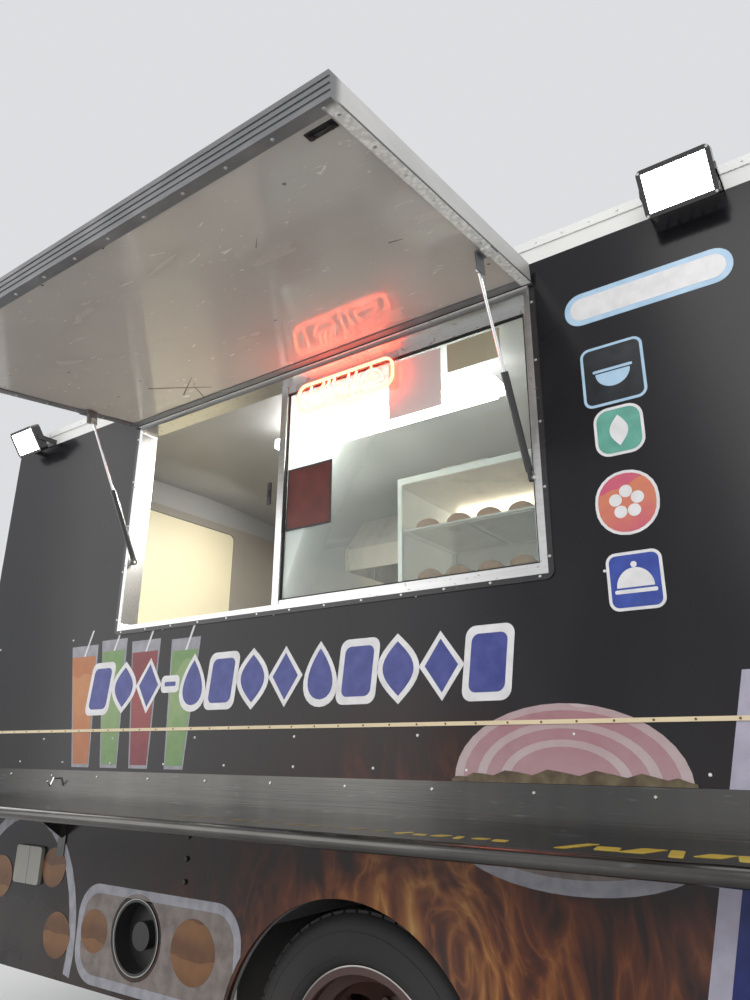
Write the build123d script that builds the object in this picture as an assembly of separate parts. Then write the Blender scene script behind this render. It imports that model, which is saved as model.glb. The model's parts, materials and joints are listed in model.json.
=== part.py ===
from build123d import *

# A food truck built on a step-van chassis. The kerb side, towards -Y, has the serving window
# under a lifted awning that two gas struts hold, and a steel shelf along the wall below it.
# Places are measured forward (x) from the rear axle, to the vehicle's left (y) from its middle
# plane and up (z) from the ground, and every piece is moved to the truck's own origin at the end.
import math
import os

# Wheels and chassis
wheelbase = 3990.0
tyre_radius = 405.0
tyre_width = 226.0
tread_width = 186.0
shoulder_drop = 14.0
bead_radius = 247.5
rim_lip_radius = 264.0
rim_width = 172.0
rim_well_radius = 218.0
rim_metal = 7.0
disc_offset = 127.0
disc_metal = 12.0
hand_hole_radius = 24.0
hand_hole_circle = 178.0
stud_radius = 12.0
stud_circle = 137.5
stud_length = 36.0
hub_radius = 92.0
hub_length = 48.0
drum_radius = 186.0
drum_length = 96.0
wheel_y = 1000.0
dual_spacing = 2 * disc_offset + disc_metal
kingpin_y = 850.0
kingpin_radius = 18.0
kingpin_boss_radius = 36.0
kingpin_boss_height = 116.0
knuckle_ear = 30.0
spindle_radius = 30.0
axle_tube_radius = 55.0
banjo_radius = 165.0
beam_depth = 70.0
beam_drop = 20.0
rail_outer_y = 430.0
rail_height = 200.0
rail_flange = 65.0
rail_metal = 8.0
crossmember_x = -2050.0, -900.0, 900.0, 1900.0, wheelbase - 1090.0, wheelbase + 570.0
crossmember_width = 80.0
crossmember_height = 110.0
spring_y = 442.0
spring_width = 65.0
spring_half_length = 640.0
spring_sag = 105.0
spring_leaf = 13.0
spring_leaves = 4
spring_step = 130.0
spring_eye_radius = 24.0
spring_seat_z = 470.0
damper_back = 95.0
damper_y = 568.0
damper_z0, damper_z1 = 372.0, 672.0
damper_cover_radius = 28.0
damper_tube_radius = 20.0
damper_eye_radius = 22.0
damper_eye_half = 22.0
damper_pin_radius = 9.0
damper_lug = 14.0
running_gap = 0.1
seat_gap = 0.3

# Body envelope
body_half_width = 1180.0
wall = 30.0
skirt_z = 460.0
belt_z = 1360.0
eave_z = 2780.0
crown_rise = 86.0
roof_corner_radius = 62.0
roof_split_z = 2690.0
rear_face_x = -2200.0
skirt_nose_x = wheelbase + 880.0
belt_nose_x = wheelbase + 910.0
brow_x = wheelbase + 650.0
brow_z = 2900.0
brow_radius = 260.0
front_corner_radius = 180.0
rear_corner_radius = 45.0
side_front_x = wheelbase + 430.0
nose_skirt_z = 560.0
nose_notch_y = 520.0
side_trim = 1.0
arch_radius = 460.0
arch_z = 390.0

# Floor and steps
floor_top = 800.0
floor_depth = 80.0
wheelhouse_radius = 520.0
wheelhouse_metal = 8.0
wheelhouse_inner_y = 575.0
step_depth = 300.0
step_metal = 6.0
step_z = 500.0

# Windshield, quarter windows, grille, lamps and bumpers
glass_thickness = 6.0
glass_recess = 12.0
windshield_y0, windshield_y1 = 35.0, 1010.0
windshield_z0, windshield_z1 = 1480.0, 2390.0
windshield_radius = 60.0
quarter_x0, quarter_x1 = wheelbase - 350.0, wheelbase + 290.0
quarter_z0, quarter_z1 = 1560.0, 2300.0
quarter_radius = 60.0
grille_half_width = 480.0
grille_z0, grille_z1 = 790.0, 1180.0
grille_corner = 30.0
grille_frame = 26.0
grille_bars = 6
grille_bar_height = 20.0
grille_proud = 8.0
headlamp_y = 720.0
headlamp_z = 985.0
headlamp_radius = 105.0
headlamp_bezel = 15.0
headlamp_bulge = 26.0
marker_width = 96.0
marker_height = 26.0
marker_depth = 22.0
tail_lamp_radius = 54.0
tail_lamp_y, tail_lamp_z = 1000.0, 1000.0
marker_y = -900.0, -190.0, 0.0, 190.0, 900.0
flood_lamp_x = -1950.0, 1150.0
flood_lamp_z = 2700.0
flood_lamp_width = 190.0
flood_lamp_height = 130.0
flood_lamp_depth = 44.0
flood_lamp_reach = 88.0
flood_lamp_tilt = 35.0
bumper_gap = 15.0
bumper_depth = 75.0
bumper_z0, bumper_z1 = 470.0, 690.0
bumper_metal = 6.0
rear_bumper_z0, rear_bumper_z1 = 480.0, 640.0
rear_bumper_reach = 130.0
rear_bumper_half_width = 1090.0
plate_hole_spacing = 178.0
plate_hole_radius = 3.5
tow_eye_radius = 18.0
tow_eye_plate = 16.0
tow_eye_drop = 88.0
mirror_x = wheelbase + 510.0
mirror_reach = 205.0
mirror_arm_z0, mirror_arm_z1 = 1700.0, 2330.0
mirror_arm_radius = 11.0
mirror_head_inset = 110.0
mirror_head_width = 170.0

# Cab doors and rear door
cab_door_x0, cab_door_x1 = wheelbase - 1300.0, wheelbase - 550.0
cab_door_z0, cab_door_z1 = 510.0, 2610.0
cab_door_overlap = 32.0
cab_door_thickness = 25.0
cab_door_gap = 6.0
cab_door_radius = 40.0
cab_door_stile = 90.0
cab_door_travel = 700.0
cab_window_z0, cab_window_z1 = 1500.0, 2360.0
track_z = cab_door_z1 + 45.0
track_metal = 5.0
rear_door_y0, rear_door_y1 = -430.0, 370.0
rear_door_z1 = 2640.0
rear_door_radius = 40.0
rear_door_thickness = 32.0
rear_hinge_radius = 7.0
rear_hinge_pin = 3.5
rear_hinge_leaf = 3.0
rear_hinge_half = 40.0
rear_hinge_knuckle = 13.0
door_clearance = 6.0

# Serving window, awning and struts
window_x0, window_x1 = -1172.0, 669.0
window_z0, window_z1 = 1710.0, 2600.0
window_radius = 25.0
liner = 12.0
liner_depth = 76.0
flange_width = 22.0
flange_depth = 5.0
mullion_x = -384.0
mullion_width = 30.0
sash_width = 28.0
sash_rebate = 10.0
sash_back = 52.0
sash_depth = 22.0
hinge_z = 2610.0
hinge_out = 10.0
hinge_barrel_radius = 6.5
hinge_backset = 8.0
awning_length = 1000.0
awning_margin_aft = 28.0
awning_margin_fore = 21.0
awning_depth = 65.0
awning_droop = 8.0
awning_frame_width = 34.0
awning_panel_recess = 5.0
awning_groove = 6.0
awning_groove_depth = 3.0
strut_inset = 33.0
strut_foot_z = 1990.0
strut_foot_out = -12.0
strut_head_along = 265.0
strut_head_below = 45.0
strut_tube_radius = 11.0
strut_tube_length = 312.0
strut_tube_floor = 44.0
strut_rod_radius = 5.0
strut_rod_overlap = 12.0
strut_eye_radius = 12.0
strut_eye_thickness = 8.0
strut_pin_radius = 5.0
strut_lug_thickness = 5.0
strut_lug_width = 46.0

# Serving shelf and fittings on the kerb side
shelf_x0, shelf_x1 = -2130.0, 1530.0
shelf_z = 1057.0
shelf_reach = 335.0
shelf_sheet = 3.0
shelf_upstand_z = 1171.0
shelf_roll_radius = 19.0
bracket_x = -1390.0, 1290.0
bracket_width = 45.0
bracket_metal = 5.0
bracket_bottom_z = 862.0
bracket_reach = 285.0
filler_x, filler_z = -883.0, 647.0
filler_radius = 118.0
filler_rim = 12.0
filler_depth = 62.0
filler_cap_radius = 44.0
filler_pipe_radius = 28.0
outlet_x0, outlet_x1 = -1647.0, -1475.0
outlet_z0, outlet_z1 = 752.0, 886.0
outlet_depth = 14.0
sign_x0, sign_x1 = -300.0, 170.0
sign_z0, sign_z1 = 2425.0, 2575.0
sign_tube = 8.0
sign_plate = 4.0
sign_inset = 18.0
sign_back = 36.0

# Kitchen
counter_x0, counter_x1 = -1950.0, 1050.0
counter_z = 1700.0
counter_depth = 590.0
counter_gap = 12.0
bench_x0, bench_x1 = -1650.0, 1650.0
bench_z = 1660.0
bench_depth = 670.0
bench_metal = 20.0
kitchen_leg_x = -640.0, 620.0
kitchen_leg = 24.0
kitchen_shelf_z = 1000.0
kitchen_shelf = 20.0
worktop = 40.0
hood_x0, hood_x1 = -1250.0, 1250.0
hood_z0, hood_z1 = 2280.0, 2640.0
hood_depth = 730.0
hood_metal = 12.0
hood_lip = 130.0
hood_slope = 190.0
griddle_x0, griddle_x1 = -1080.0, -300.0
range_x0, range_x1 = -190.0, 450.0
cooker_y0, cooker_y1 = 520.0, 1060.0
cooker_height = 170.0
cooker_foot = 40.0
cooker_foot_radius = 18.0
cooker_metal = 6.0
griddle_guard = 75.0
griddle_trough = 60.0
griddle_plate_drop = 14.0
burner_radius = 58.0
burner_height = 12.0
grate_half = 125.0
grate_bar = 12.0
grate_height = 24.0
cabinet_x0, cabinet_x1 = 120.0, 620.0
cabinet_y0, cabinet_y1 = -1080.0, -700.0
cabinet_height = 420.0
cabinet_base = 60.0
cabinet_post = 16.0
lamp_x0, lamp_x1 = -980.0, 230.0
lamp_y, lamp_z = -470.0, 2690.0
fan_x, fan_y = -450.0, 620.0
duct_half = 150.0
duct_metal = 6.0
fan_curb = 560.0
fan_curb_metal = 20.0
fan_plate = 20.0
fan_plate_lip = 18.0
fan_curb_z = 2960.0
fan_drum_radius = 300.0
fan_skirt_radius = 360.0
fan_drum_height = 328.0

# Cab and powertrain
engine_x0, engine_x1 = wheelbase - 310.0, wheelbase + 390.0
engine_half_width = 270.0
engine_z0, engine_z1 = 470.0, 1080.0
cover_x0, cover_x1 = wheelbase - 430.0, wheelbase + 710.0
cover_half_width = 380.0
cover_top_z = 1170.0
cover_metal = 12.0
dash_x = wheelbase + 460.0
dash_z0, dash_z1 = 1180.0, 1430.0
steering_y = 620.0
steering_radius = 210.0
steering_rim_radius = 15.0
dash_metal = 20.0
seat_x, seat_y, seat_z = wheelbase - 760.0, 620.0, 1180.0
tank_x0, tank_x1 = -1650.0, -620.0
tank_y0, tank_y1 = -950.0, -520.0
tank_z0, tank_z1 = 380.0, 690.0
exhaust_radius = 32.0
muffler_radius = 92.0
exhaust_y, exhaust_z = 600.0, 420.0

rail_top_z = floor_top - floor_depth
rail_bottom_z = rail_top_z - rail_height
wall_inner_y = body_half_width - wall
cab_door_y = wall_inner_y - cab_door_gap - cab_door_thickness
track_y = cab_door_y - cab_door_gap
track_x0 = cab_door_x0 - cab_door_travel - 2 * cab_door_overlap
track_x1 = cab_door_x1 + 2 * cab_door_overlap
awning_x0 = window_x0 - awning_margin_aft
awning_x1 = window_x1 + awning_margin_fore
far = 5000.0


def block(x0, x1, y0, y1, z0, z1):
    """Box between two corners."""
    size = Box(abs(x1 - x0), abs(y1 - y0), abs(z1 - z0))
    return Pos((x0 + x1) / 2, (y0 + y1) / 2, (z0 + z1) / 2) * size


def bar(start, end, radius):
    """Round bar between two points."""
    along = Vector(*end) - Vector(*start)
    plane = Plane(origin=start, z_dir=along)
    return plane * Cylinder(radius, along.length, align=(Align.CENTER, Align.CENTER, Align.MIN))


def on_side(x, z, y=0.0):
    """Plane that faces -Y, with its own x along the truck and its own y up."""
    return Plane(origin=(x, y, z), x_dir=(1, 0, 0), z_dir=(0, -1, 0))


def on_front(y, z, x=0.0):
    """Plane that faces +X, with its own x to the left and its own y up."""
    return Plane(origin=(x, y, z), x_dir=(0, 1, 0), z_dir=(1, 0, 0))


def through_side(x0, x1, z0, z1, radius, y0, y1):
    """Rounded rectangle seen from the side, from y0 to y1."""
    outline = RectangleRounded(x1 - x0, z1 - z0, radius)
    return extrude(on_side((x0 + x1) / 2, (z0 + z1) / 2, y1) * outline, y1 - y0)


def through_front(y0, y1, z0, z1, radius, x0, x1):
    """Rounded rectangle seen from the front, from x0 to x1."""
    outline = RectangleRounded(y1 - y0, z1 - z0, radius)
    return extrude(on_front((y0 + y1) / 2, (z0 + z1) / 2, x0) * outline, x1 - x0)


def along_truck(points, x0, x1):
    """Outline of (y, z) points, from x0 to x1."""
    return extrude(on_front(0, 0, x0) * make_face(Polyline(*points, close=True)), x1 - x0)


def across_truck(points, y0, y1):
    """Outline of (x, z) points, from y0 to y1."""
    return extrude(on_side(0, 0, y1) * make_face(Polyline(*points, close=True)), y1 - y0)


def turned(profile, x, y, z):
    """Body turned about a line along Y, from (radius, distance towards +Y) points."""
    plane = Plane(origin=(x, y, z), x_dir=(0, 0, 1), z_dir=(-1, 0, 0))
    return revolve(plane * make_face(Polyline(*profile, close=True)), Axis((x, y, z), (0, 1, 0)))


def mirrored(shape):
    """The same piece on the vehicle's other side."""
    return mirror(shape, about=Plane.XZ)


def both_sides(shape):
    """A piece of the left side with its twin on the right."""
    return Compound(shape.solids() + mirrored(shape).solids())


def nose_x(z):
    """Where the front of the body stands at a height."""
    if z < belt_z:
        return skirt_nose_x + (belt_nose_x - skirt_nose_x) * (z - skirt_z) / (belt_z - skirt_z)
    return belt_nose_x + (brow_x - belt_nose_x) * (z - belt_z) / (brow_z - belt_z)


def drawn_in(radius, inset):
    """Corner radius of an outline that is drawn in by an inset."""
    return max(radius - inset, 2.0)


def plan(z, inset):
    """Outline of the body at a height, with rounded corners, a trim wider than its walls."""
    x0 = rear_face_x + inset
    x1 = nose_x(z) - inset
    outline = Pos((x0 + x1) / 2, 0) * Rectangle(x1 - x0, 2 * (body_half_width + side_trim - inset))
    outline = fillet(outline.vertices().sort_by(Axis.X)[-2:], drawn_in(front_corner_radius, inset))
    outline = fillet(outline.vertices().sort_by(Axis.X)[:2], drawn_in(rear_corner_radius, inset))
    return Pos(0, 0, z) * outline


def envelope(inset, bottom=skirt_z):
    """The body's outer form, drawn in by an inset."""
    half = body_half_width - inset
    crown_z = eave_z + crown_rise - inset
    form = loft([plan(bottom, inset), plan(belt_z, inset), plan(brow_z, inset)], ruled=True)
    section = make_face([
        Line((-half, 0), (half, 0)),
        Line((half, 0), (half, eave_z - inset)),
        ThreePointArc((half, eave_z - inset), (0, crown_z), (-half, eave_z - inset)),
        Line((-half, eave_z - inset), (-half, 0)),
    ])
    section = fillet(section.vertices().sort_by(Axis.Y)[-2:], drawn_in(roof_corner_radius, inset))
    form &= extrude(on_front(0, 0, -far) * section, 2 * far)
    brow = nose_x(crown_z) - inset, crown_z
    outline = [(-far, 0), (far, 0), (far, belt_z), (belt_nose_x - inset, belt_z), brow, (-far, crown_z)]
    side = make_face(Polyline(*outline, close=True))
    side = fillet(side.vertices().sort_by_distance((*brow, 0))[0], drawn_in(brow_radius, inset))
    return form & extrude(on_side(0, 0, far) * side, 2 * far)


def arch_cutter(x, radius, y0, y1):
    """Round space about a wheel."""
    return bar((x, y0, arch_z), (x, y1, arch_z), radius)


# Body panels


def side_panel(shell, side):
    """One side of the body with its cab door track: side is -1 on the kerb side, 1 on the other."""
    y0, y1 = sorted((side * wall_inner_y, side * body_half_width))
    panel = shell & block(rear_face_x + wall, side_front_x, y0, y1, skirt_z, roof_split_z)
    panel -= block(wheelbase + arch_radius / 2, side_front_x, y0, y1, skirt_z, nose_skirt_z)
    y0, y1 = y0 - wall, y1 + wall
    for axle_x in (0, wheelbase):
        panel -= arch_cutter(axle_x, arch_radius, y0, y1)
    doorway = cab_door_x0, cab_door_x1, cab_door_z0, cab_door_z1, cab_door_radius
    panel -= through_side(*doorway, y0, y1)
    panel -= through_side(quarter_x0, quarter_x1, quarter_z0, quarter_z1, quarter_radius, y0, y1)
    y0, y1 = sorted((side * wall_inner_y, side * (track_y - track_metal)))
    track = block(track_x0, track_x1, y0, y1, track_z, track_z + track_metal)
    y0, y1 = sorted((side * track_y, side * (track_y - track_metal)))
    lip_z = cab_door_z1 + cab_door_overlap / 2
    return panel + track + block(track_x0, track_x1, y0, y1, lip_z, track_z)


def kerb_side(shell):
    panel = side_panel(shell, -1)
    y0, y1 = -body_half_width - wall, -wall_inner_y + wall
    panel -= through_side(window_x0, window_x1, window_z0, window_z1, window_radius, y0, y1)
    return panel - bar((filler_x, y0, filler_z), (filler_x, y1, filler_z), filler_radius)


def rear_wall(shell):
    half = body_half_width
    x0, x1 = rear_face_x, rear_face_x + wall
    panel = shell & block(x0 - wall, x1, -half - wall, half + wall, rail_top_z, roof_split_z)
    opening = rear_door_y0, rear_door_y1, floor_top, rear_door_z1, rear_door_radius
    panel -= through_front(*opening, x0 - wall, x1 + wall)
    x, y = rear_hinge()
    half, knuckle = rear_hinge_half, rear_hinge_knuckle + seat_gap
    for z in rear_hinge_heights():
        panel += bar((x, y, z - half), (x, y, z + half), rear_hinge_pin)
        for z0, z1 in ((z - half, z - knuckle), (z + knuckle, z + half)):
            panel += bar((x, y, z0), (x, y, z1), rear_hinge_radius)
            panel += block(rear_face_x - rear_hinge_leaf, rear_face_x, y, y + 42, z0, z1)
        panel += block(rear_face_x - rear_hinge_leaf, rear_face_x, y + 12, y + 42, z - half, z + half)
    return panel


def rear_hinge():
    """Where the rear door's hinge line stands, as x and y."""
    return rear_face_x - rear_hinge_radius - seat_gap, rear_door_y1 + 2.0


def rear_hinge_heights():
    middle = (floor_top + rear_door_z1) / 2
    spread = (rear_door_z1 - floor_top) / 2 - 200.0
    return middle - spread, middle, middle + spread


def front_panel(shell):
    """Curved front of the cab, with its windshield, grille and headlamp openings."""
    half = body_half_width
    panel = shell & block(side_front_x, far, -half - wall, half + wall, nose_skirt_z, roof_split_z)
    panel -= block(side_front_x, far, -nose_notch_y, nose_notch_y, 0, rail_top_z)
    for side in (-1, 1):
        y0, y1 = sorted((side * windshield_y0, side * windshield_y1))
        pane = y0, y1, windshield_z0, windshield_z1, windshield_radius
        panel -= through_front(*pane, side_front_x, far)
        y = side * headlamp_y
        panel -= bar((side_front_x, y, headlamp_z), (far, y, headlamp_z), headlamp_radius)
    hole = -grille_half_width, grille_half_width, grille_z0, grille_z1, grille_corner
    return panel - through_front(*hole, side_front_x, far)


def duct_space(half, z0, z1):
    """Square space about the fan's middle."""
    return block(fan_x - half, fan_x + half, fan_y - half, fan_y + half, z0, z1)


def roof(outer, inner):
    """Crowned roof with turned-down edges, in sheets that meet at the fan's duct."""
    half = body_half_width + wall
    skin = outer & block(rear_face_x - wall, far, -half, half, roof_split_z, far)
    skin = skin - duct_space(duct_half, roof_split_z, brow_z) - inner
    seams = rear_face_x - wall, fan_x - duct_half, fan_x + duct_half, far
    sheets = []
    for x0, x1 in zip(seams, seams[1:]):
        sheets += (skin & block(x0, x1, -half, half, roof_split_z, far)).solids()
    return Compound(sheets)


def floor():
    """Floor plate that carries round wheelhouses, with a step well inside each cab door."""
    cavity = envelope(wall, skirt_z - 50)
    half = body_half_width
    plate = cavity & block(rear_face_x, far, -half, half, rail_top_z, floor_top)
    plate -= block(cover_x0, far, -cover_half_width, cover_half_width, 0, far)
    welded = []
    for side in (-1, 1):
        y0, y1 = sorted((side * track_y, side * half))
        plate -= block(track_x0, track_x1, y0, y1, 0, far)
        for axle_x in (0, wheelbase):
            inner_y = side * (wheelhouse_inner_y + wheelhouse_metal)
            house = arch_cutter(axle_x, wheelhouse_radius, side * wheelhouse_inner_y, side * wall_inner_y)
            hollow = arch_cutter(axle_x, wheelhouse_radius - wheelhouse_metal, inner_y, side * half)
            plate -= hollow
            welded += ((house - hollow) & block(-far, far, -half, half, floor_top, far)).solids()
        x0, x1 = cab_door_x0, cab_door_x1 - step_metal
        y0, y1 = sorted((side * (track_y - step_depth), side * track_y))
        tray = block(x0, x1, y0, y1, step_z, floor_top)
        plate -= tray
        y0, y1 = sorted((side * (track_y - step_depth + step_metal), side * half))
        welded += (tray - block(x0 + step_metal, x1 - step_metal, y0, y1, step_z + step_metal, far)).solids()
    cup_y = filler_depth + seat_gap - body_half_width
    plate -= bar((filler_x, -half, filler_z), (filler_x, cup_y, filler_z), filler_radius)
    return Compound(plate.solids() + welded)


def fixed_glass():
    """Windshield, quarter and serving panes, each just inside its own opening."""
    skin = envelope(glass_recess, skirt_z - 50)
    skin -= envelope(glass_recess + glass_thickness, skirt_z - 60)
    panes = []
    for side in (-1, 1):
        y0, y1 = sorted((side * windshield_y0, side * windshield_y1))
        panes += (skin & through_front(
            y0 + seat_gap, y1 - seat_gap, windshield_z0 + seat_gap, windshield_z1 - seat_gap,
            windshield_radius, side_front_x, far,
        )).solids()
        y0, y1 = sorted((side * wall_inner_y, side * body_half_width))
        panes += (skin & through_side(
            quarter_x0 + seat_gap, quarter_x1 - seat_gap, quarter_z0 + seat_gap,
            quarter_z1 - seat_gap, quarter_radius, y0, y1,
        )).solids()
    edge = liner + sash_width + seat_gap
    y = -body_half_width + sash_back + sash_depth / 2
    panes += block(
        mullion_x + mullion_width + seat_gap, window_x1 - edge,
        y, y + glass_thickness, window_z0 + edge, window_z1 - edge,
    ).solids()
    return Compound(panes)


def grille():
    """Framed grille that follows the slope of the front, with level bars."""
    skin = envelope(-grille_proud) - envelope(wall)
    half, gap = grille_half_width - seat_gap, seat_gap
    outer = -half, half, grille_z0 + gap, grille_z1 - gap, grille_corner
    piece = skin & through_front(*outer, side_front_x, far)
    inner_half = half - grille_frame
    z0, z1 = grille_z0 + grille_frame, grille_z1 - grille_frame
    piece -= through_front(-inner_half, inner_half, z0, z1, grille_corner / 2, side_front_x, far)
    pitch = (z1 - z0) / (grille_bars + 1)
    slats = envelope(0) - envelope(wall - grille_proud)
    for row in range(grille_bars):
        z = z0 + (row + 1) * pitch
        half_height = grille_bar_height / 2
        slat = block(side_front_x, far, -half, half, z - half_height, z + half_height)
        piece += slats & slat
    return piece


def headlamps():
    """Round lamp with its bezel on each side of the grille."""
    x = nose_x(headlamp_z)
    radius = headlamp_radius - seat_gap
    lens = radius - headlamp_bezel
    half_angle = math.asin(lens / sphere_radius(lens, headlamp_bulge)) / 2
    middle = sphere_radius(lens, headlamp_bulge)
    middle = middle * math.sin(half_angle), headlamp_bulge - middle * (1 - math.cos(half_angle))
    profile = make_face([
        Polyline((0, headlamp_bulge), (0, -wall), (radius, -wall), (radius, headlamp_bezel)),
        Polyline((radius, headlamp_bezel), (lens, headlamp_bezel), (lens, 0)),
        ThreePointArc((lens, 0), middle, (0, headlamp_bulge)),
    ])
    centre = x, headlamp_y, headlamp_z
    plane = Plane(origin=centre, x_dir=(0, 0, 1), z_dir=(0, 1, 0))
    return both_sides(revolve(plane * profile, Axis(centre, (1, 0, 0))))


def sphere_radius(half_width, rise):
    """Radius of a dome from its half width and its rise."""
    return (half_width ** 2 + rise ** 2) / (2 * rise)


def marker_lamps():
    """Clearance lamps over the windshield and the rear door, and two round tail lamps."""
    lamps = []
    half_width, half_height = marker_width / 2, marker_height / 2
    header_z = (windshield_z1 + roof_split_z) / 2
    rear_z = (rear_door_z1 + roof_split_z) / 2
    face = envelope(-marker_depth) - envelope(0)
    for y in marker_y:
        front = y - half_width, y + half_width, header_z - half_height, header_z + half_height
        lamps += (face & through_front(*front, half_height - 1, side_front_x, far)).solids()
        rear = y - half_width, y + half_width, rear_z - half_height, rear_z + half_height
        lamps += through_front(*rear, half_height - 1, rear_face_x - marker_depth, rear_face_x).solids()
    for y in (-tail_lamp_y, tail_lamp_y):
        x, z = rear_face_x, tail_lamp_z
        lamp = bar((x - marker_depth, y, z), (x, y, z), tail_lamp_radius)
        lamps += fillet(lamp.edges().sort_by(Axis.X)[:1], 8).solids()
    return Compound(lamps)


def flood_lamps():
    """Two slim work lamps on brackets under the eave, tilted down at the serving place."""
    lamps = []
    width, height, depth = flood_lamp_width, flood_lamp_height, flood_lamp_depth
    body = Box(width, depth, height)
    body = fillet(body.edges().filter_by(Axis.Y), 14)
    body -= Pos(0, -depth / 2, 0) * Box(width - 24, 10, height - 24)
    for fin in range(5):
        body += Pos((fin - 2) * width / 6, depth / 2 + 4, 0) * Box(5, 8 + seat_gap, height - 30)
    half, wall_y = width / 2, -body_half_width
    lamp_y, z0, z1 = wall_y - flood_lamp_reach, flood_lamp_z - 12, flood_lamp_z + 12
    for x in flood_lamp_x:
        lamp = Pos(x, lamp_y, flood_lamp_z) * Rot(flood_lamp_tilt, 0, 0) * body
        for x0 in (x - half - 4, x + half):
            lamp += block(x0, x0 + 4, lamp_y - 12, wall_y, z0, z1)
        lamp += block(x - half - 4, x + half + 4, wall_y - 4, wall_y, z0, z1)
        lamps += lamp.solids()
    return Compound(lamps)


def bumpers():
    """Curved channel bumper at the front and a straight step bumper at the rear."""
    half = body_half_width
    z0, z1, metal = bumper_z0, bumper_z1, bumper_metal
    outer = bumper_gap + bumper_depth
    front = extrude(plan(z0, -outer), z1 - z0) - extrude(plan(z0, -bumper_gap), z1 - z0)
    hollow = extrude(plan(z0 + metal, metal - outer), z1 - z0 - 2 * metal)
    front = (front - hollow) & block(side_front_x + 280, far, -half, half, 0, far)
    x0, x1, half = rear_face_x - rear_bumper_reach, rear_face_x - 4, rear_bumper_half_width
    rear = block(x0, x1, -half, half, rear_bumper_z0, rear_bumper_z1)
    rear = fillet(rear.edges().filter_by(Axis.Z).sort_by(Axis.X)[:2], 40)
    rear -= block(x0 + metal, x1, -half + 42, half - 42, rear_bumper_z0 + metal, rear_bumper_z1 - metal)
    for side in (-1, 1):
        y, z = side * plate_hole_spacing / 2, (rear_bumper_z0 + rear_bumper_z1) / 2
        rear -= bar((x0 - 1, y, z), (x0 + 2 * metal, y, z), plate_hole_radius)
    return Compound(front.solids() + rear.solids())


def mirrors():
    """Upright mirror head on two arms, one on each side of the cab."""
    y0, y1 = body_half_width, body_half_width + mirror_reach
    z0, z1, radius = mirror_arm_z0, mirror_arm_z1, mirror_arm_radius
    piece = bar((mirror_x, y1, z0), (mirror_x, y1, z1), radius)
    for z in (z0, z1):
        piece += block(mirror_x - 30, mirror_x + 30, y0, y0 + 8, z - 45, z + 45)
        piece += bar((mirror_x, y0, z), (mirror_x, y1, z), radius) + Pos(mirror_x, y1, z) * Sphere(radius)
    head_y = y1 - mirror_head_width / 2 + 10, y1 + mirror_head_width / 2 + 10
    head_z = z0 + mirror_head_inset + 20, z1 - mirror_head_inset
    head = through_front(*head_y, *head_z, 35, mirror_x - 28, mirror_x + 28)
    return both_sides(piece + head)


# Chassis, axles and wheels


def chassis_frame():
    """Channel rails with bumper horns, hangers and tow eyes, bolted to crossmembers and engine mounts."""
    x0, x1 = rear_face_x, nose_x(rail_top_z) - wall
    web = rail_outer_y - rail_metal
    rail = block(x0, x1, rail_outer_y - rail_flange, rail_outer_y, rail_bottom_z, rail_top_z)
    z0, z1 = rail_bottom_z + rail_metal, rail_top_z - rail_metal
    rail -= block(x0, x1, rail_outer_y - rail_flange, web, z0, z1)
    horn_z0, horn_z1 = bumper_z0 + 60, bumper_z1 - 20
    bumper_skin = nose_x(bumper_z0) + bumper_gap + bumper_depth - bumper_metal
    rail += block(x1 - 200, bumper_skin, web - 40, web, horn_z0, horn_z1)
    rear_skin = rear_face_x - rear_bumper_reach + bumper_metal
    rail += block(rear_skin, x0 + 200, web - 40, web, z0, rear_bumper_z1 - 20)
    eye_x, eye_z = tow_eye_place()
    lug, y0 = 2 * tow_eye_radius, web - tow_eye_plate
    eye = bar((eye_x, y0, eye_z), (eye_x, web, eye_z), lug)
    eye += block(eye_x - lug, eye_x + lug, y0, web, eye_z, rail_bottom_z)
    rail += eye - bar((eye_x, y0 - 1, eye_z), (eye_x, web + 1, eye_z), tow_eye_radius)
    for axle_x in (0, wheelbase):
        for end in (-1, 1):
            x, z = axle_x + end * spring_half_length, spring_eye_z()
            rail += block(x - 34, x + 34, rail_outer_y, spring_y - seat_gap, z - 40, rail_top_z - 20)
            rail += bar((x, rail_outer_y, z), (x, spring_y + spring_width + 8, z), 12 - running_gap)
        x, z, inner = axle_x - damper_back, damper_z1, damper_y - damper_eye_half - 1
        rail += block(x - damper_lug, x + damper_lug, web, inner, z - damper_lug, z + damper_lug)
        rail += bar((x, inner, z), (x, damper_y + damper_eye_half + 4, z), damper_pin_radius)
    pieces = rail.solids() + mirrored(rail).solids()
    z1 = rail_top_z - 20
    for x in crossmember_x:
        pieces += block(x, x + crossmember_width, -web, web, z1 - crossmember_height, z1).solids()
    middle = (engine_x0 + engine_x1) / 2
    for side in (-1, 1):
        y0, y1 = sorted((side * engine_half_width, side * web))
        pieces += block(middle - 40, middle + 40, y0, y1, rail_bottom_z + 20, rail_bottom_z + 70).solids()
    return Compound(pieces)


def tow_eye_place():
    """Where the tow eyes hang under the rails' front ends, as x and z."""
    return nose_x(rail_top_z) - wall - 2 * tow_eye_radius, rail_bottom_z - tow_eye_drop


def spring_eye_z():
    """Height of the leaf springs' eyes over their flat middle."""
    return spring_seat_z + spring_leaves * spring_leaf + spring_sag


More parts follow.
